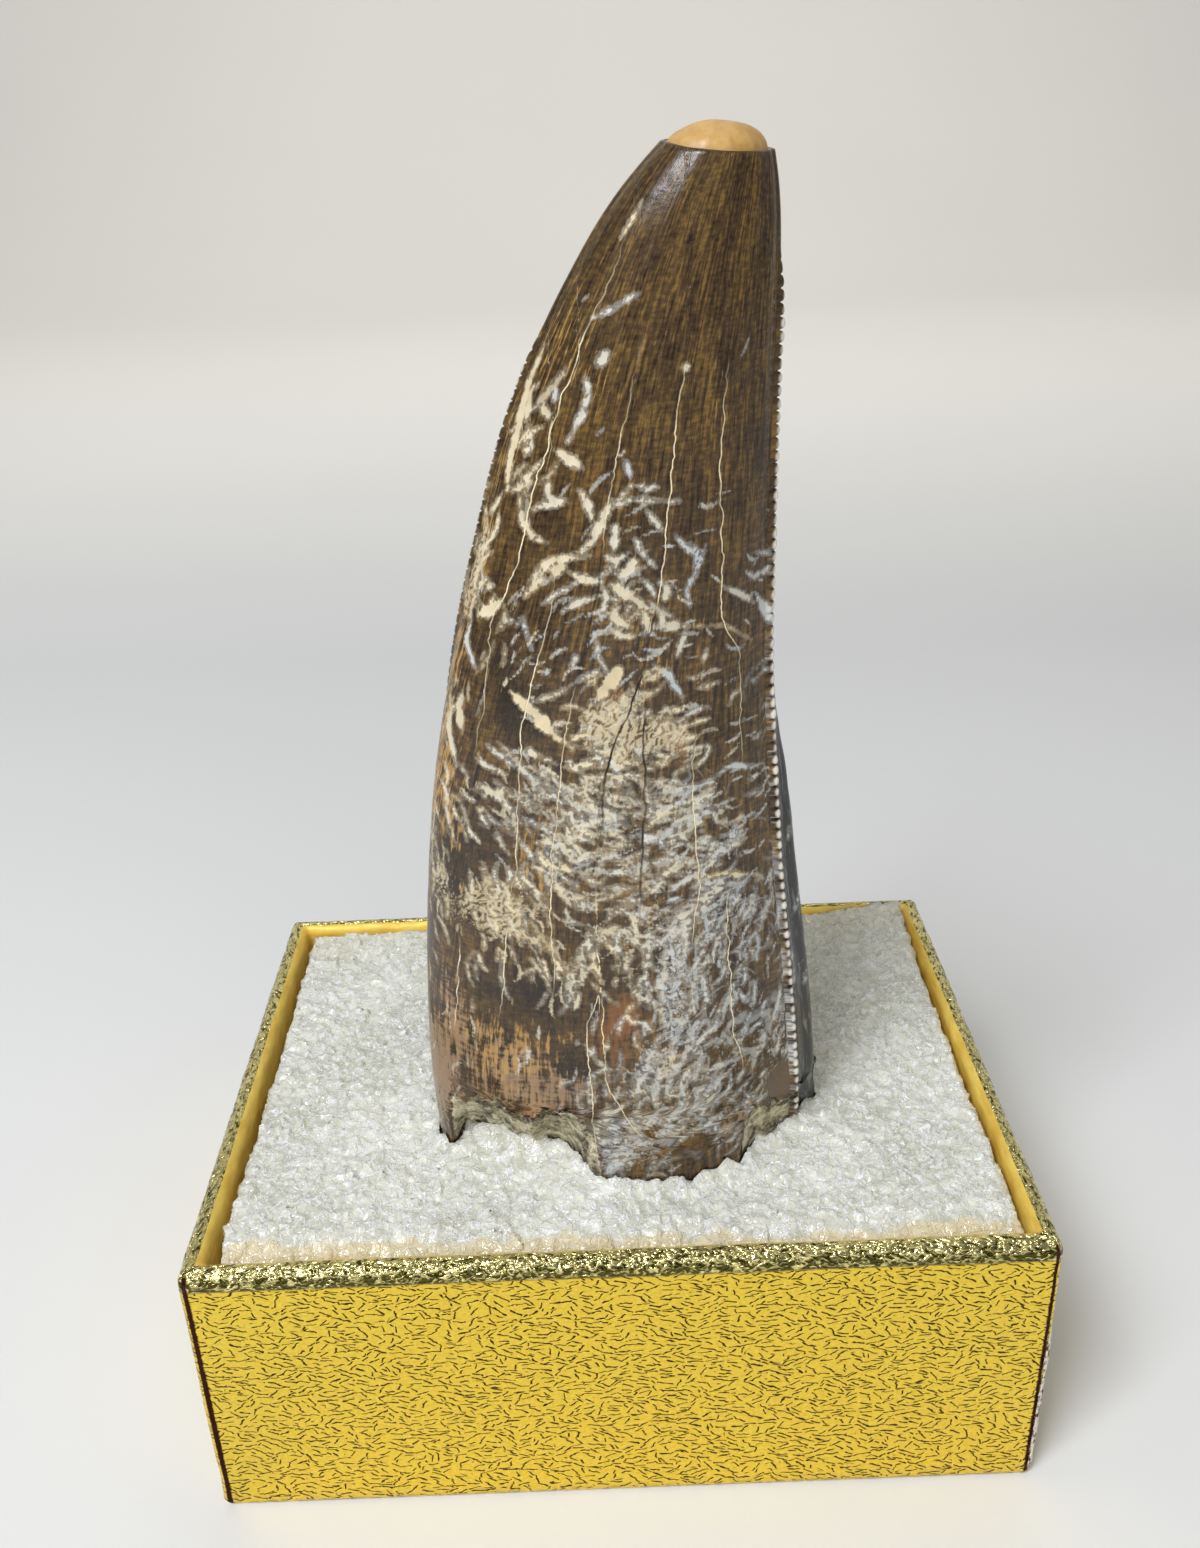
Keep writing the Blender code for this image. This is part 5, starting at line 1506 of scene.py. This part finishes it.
def paper_floor(look):
    """A studio's paper roll: pale and matt, with a faint cloudiness."""
    values = {"Roughness": 0.85, "Specular IOR Level": 0.2}
    material, tree, shader = start_material("pale_paper_floor", values)
    place = add(tree, "ShaderNodeTexCoord", output="Object")
    cloud = grain(tree, place, (0.25, 0.25, 0.25), 2.0)
    shaded = [0.97 * c for c in look.floor[:3]] + [1.0]
    link(tree, shader, Base_Color=add(tree, RAMP, {0: cloud}, stops=[(0.3, shaded), (0.7, look.floor)]))
    return material


def make_floor(look):
    """A pale floor that sweeps up behind, as a studio's paper roll does."""
    flat = [(y, 0.0) for y in np.linspace(FLOOR_FRONT, FLOOR_BACK, 20)]
    bend = np.linspace(0, math.pi / 2, 25)[1:]
    flat += [(FLOOR_BACK + SWEEP_RADIUS * math.sin(a), SWEEP_RADIUS * (1 - math.cos(a))) for a in bend]
    flat.append((FLOOR_BACK + SWEEP_RADIUS, SWEEP_HEIGHT))
    mesh = bpy.data.meshes.new("studio_floor")
    across = (-FLOOR_HALF_WIDTH, FLOOR_HALF_WIDTH)
    points = [(x, y, z - FLOOR_GAP) for y, z in flat for x in across]
    faces = [(2 * k, 2 * k + 1, 2 * k + 3, 2 * k + 2) for k in range(len(flat) - 1)]
    mesh.from_pydata(points, [], faces)
    mesh.shade_smooth()
    mesh.materials.append(paper_floor(look))
    floor = bpy.data.objects.new("studio_floor", mesh)
    bpy.context.scene.collection.objects.link(floor)


def add_softbox(name, place, aim, size, power, colour, mirrored=True):
    """A square lamp. One that isn't mirrored lights the object and leaves no highlight on it."""
    light = bpy.data.lights.new(name, "AREA")
    light.shape = "RECTANGLE"
    light.size, light.size_y = size
    light.energy = power
    light.color = colour[:3]
    item = bpy.data.objects.new(name, light)
    item.location = place
    item.rotation_euler = (Vector(aim) - Vector(place)).to_track_quat("-Z", "Y").to_euler()
    item.visible_camera = False
    item.visible_glossy = mirrored
    bpy.context.scene.collection.objects.link(item)


def make_camera():
    """The camera where the photograph was taken from, with the same field of view."""
    camera = bpy.data.cameras.new("camera")
    camera.sensor_width = SENSOR
    camera.lens = SENSOR * FOCAL_SHARE
    camera.clip_start = 0.005
    camera.clip_end = 20.0
    item = bpy.data.objects.new("camera", camera)
    back = -CAMERA_LOOK.normalized()
    right = CAMERA_UP.cross(back).normalized()
    up = back.cross(right)
    turn = Matrix((right, up, back)).transposed()
    item.matrix_world = Matrix.Translation(CAMERA_PLACE) @ turn.to_4x4()
    bpy.context.scene.collection.objects.link(item)
    bpy.context.scene.camera = item


def make_stage(look):
    """Floor, soft lights and dim surroundings."""
    make_floor(look)
    middle = (0.0, 0.0, 0.045)
    warm, cool = hex_colour("#FFF8EE"), hex_colour("#F2F5FF")
    power = look.key_power
    add_softbox("key_softbox", (-0.20, -0.26, 0.46), middle, (0.20, 0.20), power, cool)
    place, size = (0.12, -0.55, 0.20), (0.40, 0.40)
    add_softbox("front_softbox", place, middle, size, power * 0.34, warm, mirrored=False)
    add_softbox("top_softbox", (0.05, 0.16, 0.60), middle, (0.30, 0.30), power * 0.12, warm)
    place, aim, size = (0.0, 0.25, 0.50), (0.0, 1.0, 0.35), (0.90, 0.30)
    add_softbox("far_softbox", place, aim, size, power * 1.4, warm, mirrored=False)
    world = bpy.data.worlds.new("studio")
    world.use_nodes = True
    sky = world.node_tree.nodes["Background"]
    sky.inputs["Color"].default_value = hex_colour("#E8ECF0")
    sky.inputs["Strength"].default_value = look.world_strength
    bpy.context.scene.world = world
    bpy.context.scene.view_settings.view_transform = "Standard"


# The add-on


def colour_setting(name, code):
    """A colour in the panel, which starts as an sRGB hex colour."""
    text = f"Colour: {name.lower()}"
    kind = {"subtype": "COLOR", "size": 4, "min": 0, "max": 1}
    return FloatVectorProperty(name=name, description=text, default=hex_colour(code), **kind)


class ToothLook(bpy.types.PropertyGroup):
    seed: IntProperty(name="Seed", description="Starts the scatter of etched marks", default=4)
    front_marks: IntProperty(name="Front marks", description="Tries at marks on the front", default=3200)
    wisps: IntProperty(name="Wisps", description="Tries at thin wisps on the front", default=4200)
    back_marks: IntProperty(name="Back marks", description="Tries at marks on the back", default=2600)
    polish: FloatProperty(name="Polish", description="Roughness of clean enamel", default=0.17, min=0, max=1)
    enamel_dark: colour_setting("Dark enamel", "#2A1D10")
    enamel_brown: colour_setting("Brown enamel", "#523F24")
    enamel_ochre: colour_setting("Ochre enamel", "#8A6B33")
    gold_streak: colour_setting("Golden streaks", "#BC9350")
    cream: colour_setting("Cream mineral", "#E2D2AA")
    frost: colour_setting("Frosted mineral", "#C9CFCE")
    rust: colour_setting("Rust stain", "#86592E")
    stain_dark: colour_setting("Dark stain", "#201A14")
    far_face: colour_setting("Far face", "#3A3A38")
    clay: colour_setting("Clay stain", "#A88A6A")
    crack_filling: colour_setting("Crack filling", "#F2E3BA")
    crack_shadow: colour_setting("Open crack", "#1E140D")
    denticle: colour_setting("Worn denticles", "#EDE8D8")
    scar: colour_setting("Scar", "#6A5844")
    dentine: colour_setting("Dentine", "#D0A967")
    dentine_dark: colour_setting("Dentine shade", "#B88E4E")
    matrix: colour_setting("Matrix", "#A79E7F")
    matrix_dark: colour_setting("Matrix shade", "#474032")
    matrix_pale: colour_setting("Matrix grains", "#DAD4B8")


class FoamLook(bpy.types.PropertyGroup):
    seed: IntProperty(name="Seed", description="Starts the scatter of torn cells", default=9)
    foam_step: FloatProperty(name="Detail", description="Spacing of the foam's points in mm", default=0.185)
    cell_size: FloatProperty(name="Cell size", description="Width of a foam cell in mm", default=0.95)
    crinkle: FloatProperty(name="Crinkle", description="Strength of the torn cells", default=0.48)
    front_rise: FloatProperty(name="Front rise", description="The front swell in mm", default=1.6)
    foam_white: colour_setting("Foam", "#F3F3E2")
    foam_shade: colour_setting("Foam shade", "#C9C9B6")
    # The colour of the painted gold bounce light from the paper
    foam_bounce_colour: colour_setting("Foam edge", "#EADDB6")


class BoxLook(bpy.types.PropertyGroup):
    foil_step: FloatProperty(name="Detail", description="Spacing of the foil's points in mm", default=0.22)
    groove_step: FloatProperty(name="Groove step", description="Spacing of the grooves in mm", default=0.47)
    rim_crease: FloatProperty(name="Rim creases", description="Height of the creases in mm", default=0.06)
    gold: colour_setting("Gold", "#FDE25E")
    gold_deep: colour_setting("Deep gold", "#F2CC42")
    # The rim's two colours are painted reflection: a painted highlight and a dark painted reflection
    rim_highlight_colour: colour_setting("Rim gold", "#FFF0A4")
    rim_dark_reflection: colour_setting("Rim shade", "#55501F")
    # The grooves' dark colour is painted shade
    groove: colour_setting("Grooves", "#40340E")
    inner_gold: colour_setting("Inner gold", "#F7D868")
    inner_shade: colour_setting("Inner gold shade", "#E6BC4C")
    seam: colour_setting("Corner seam", "#4A281C")
    torn_paper: colour_setting("Torn paper", "#E6DED2")
    board_dark: colour_setting("Board flecks", "#857D70")
    board_pale: colour_setting("Board", "#ACA497")


class StageLook(bpy.types.PropertyGroup):
    key_power: FloatProperty(name="Key light", description="Its power", default=2.5, unit="POWER")
    world_strength: FloatProperty(name="Surroundings", description="Their brightness", default=0.24)
    floor: colour_setting("Floor", "#EDEDE9")


class BuildTooth(bpy.types.Operator):
    """Builds the fossil tooth with its beaded edges, cracks, etched marks and worn tip"""

    bl_idname = "fossil.tooth"
    bl_label = "Fossil Tooth"

    def execute(self, context):
        make_tooth(context.scene.tooth_look)
        return {"FINISHED"}


class BuildFoam(bpy.types.Operator):
    """Builds the cut foam block with the slot that grips the tooth"""

    bl_idname = "fossil.foam"
    bl_label = "Foam Block"

    def execute(self, context):
        make_foam(context.scene.foam_look)
        return {"FINISHED"}


class BuildBox(bpy.types.Operator):
    """Builds the box's foil paper and gives the board tray its chipboard"""

    bl_idname = "fossil.box"
    bl_label = "Foil Box"

    def execute(self, context):
        make_foil_paper(context.scene.box_look)
        make_torn_edge(context.scene.box_look)
        dress_board_tray(context.scene.box_look)
        return {"FINISHED"}


class BuildStage(bpy.types.Operator):
    """Builds the floor, the lights and the camera"""

    bl_idname = "fossil.stage"
    bl_label = "Studio"

    def execute(self, context):
        make_stage(context.scene.stage_look)
        make_camera()
        return {"FINISHED"}


LOOKS = {"tooth_look": ToothLook, "foam_look": FoamLook, "box_look": BoxLook, "stage_look": StageLook}
BUILDERS = (BuildBox, BuildFoam, BuildTooth, BuildStage)


class FossilPanel(bpy.types.Panel):
    """Lists the pieces with their sizes and colours"""

    bl_idname = "VIEW3D_PT_fossil"
    bl_label = "Fossil Tooth"
    bl_space_type = "VIEW_3D"
    bl_region_type = "UI"
    bl_category = "Fossil Tooth"

    def draw(self, context):
        for builder in BUILDERS:
            self.layout.operator(builder.bl_idname)
        for name, group in LOOKS.items():
            box = self.layout.box()
            box.label(text=name.replace("_", " ").capitalize())
            for key in group.__annotations__:
                box.prop(getattr(context.scene, name), key)


CLASSES = (*LOOKS.values(), *BUILDERS, FossilPanel)


def register():
    for item in CLASSES:
        bpy.utils.register_class(item)
    for name, group in LOOKS.items():
        setattr(bpy.types.Scene, name, PointerProperty(type=group))


def unregister():
    for name in LOOKS:
        delattr(bpy.types.Scene, name)
    for item in reversed(CLASSES):
        bpy.utils.unregister_class(item)


def main():
    register()
    bpy.ops.fossil.box()
    bpy.ops.fossil.foam()
    bpy.ops.fossil.tooth()
    bpy.ops.fossil.stage()


if __name__ == "__main__":
    main()
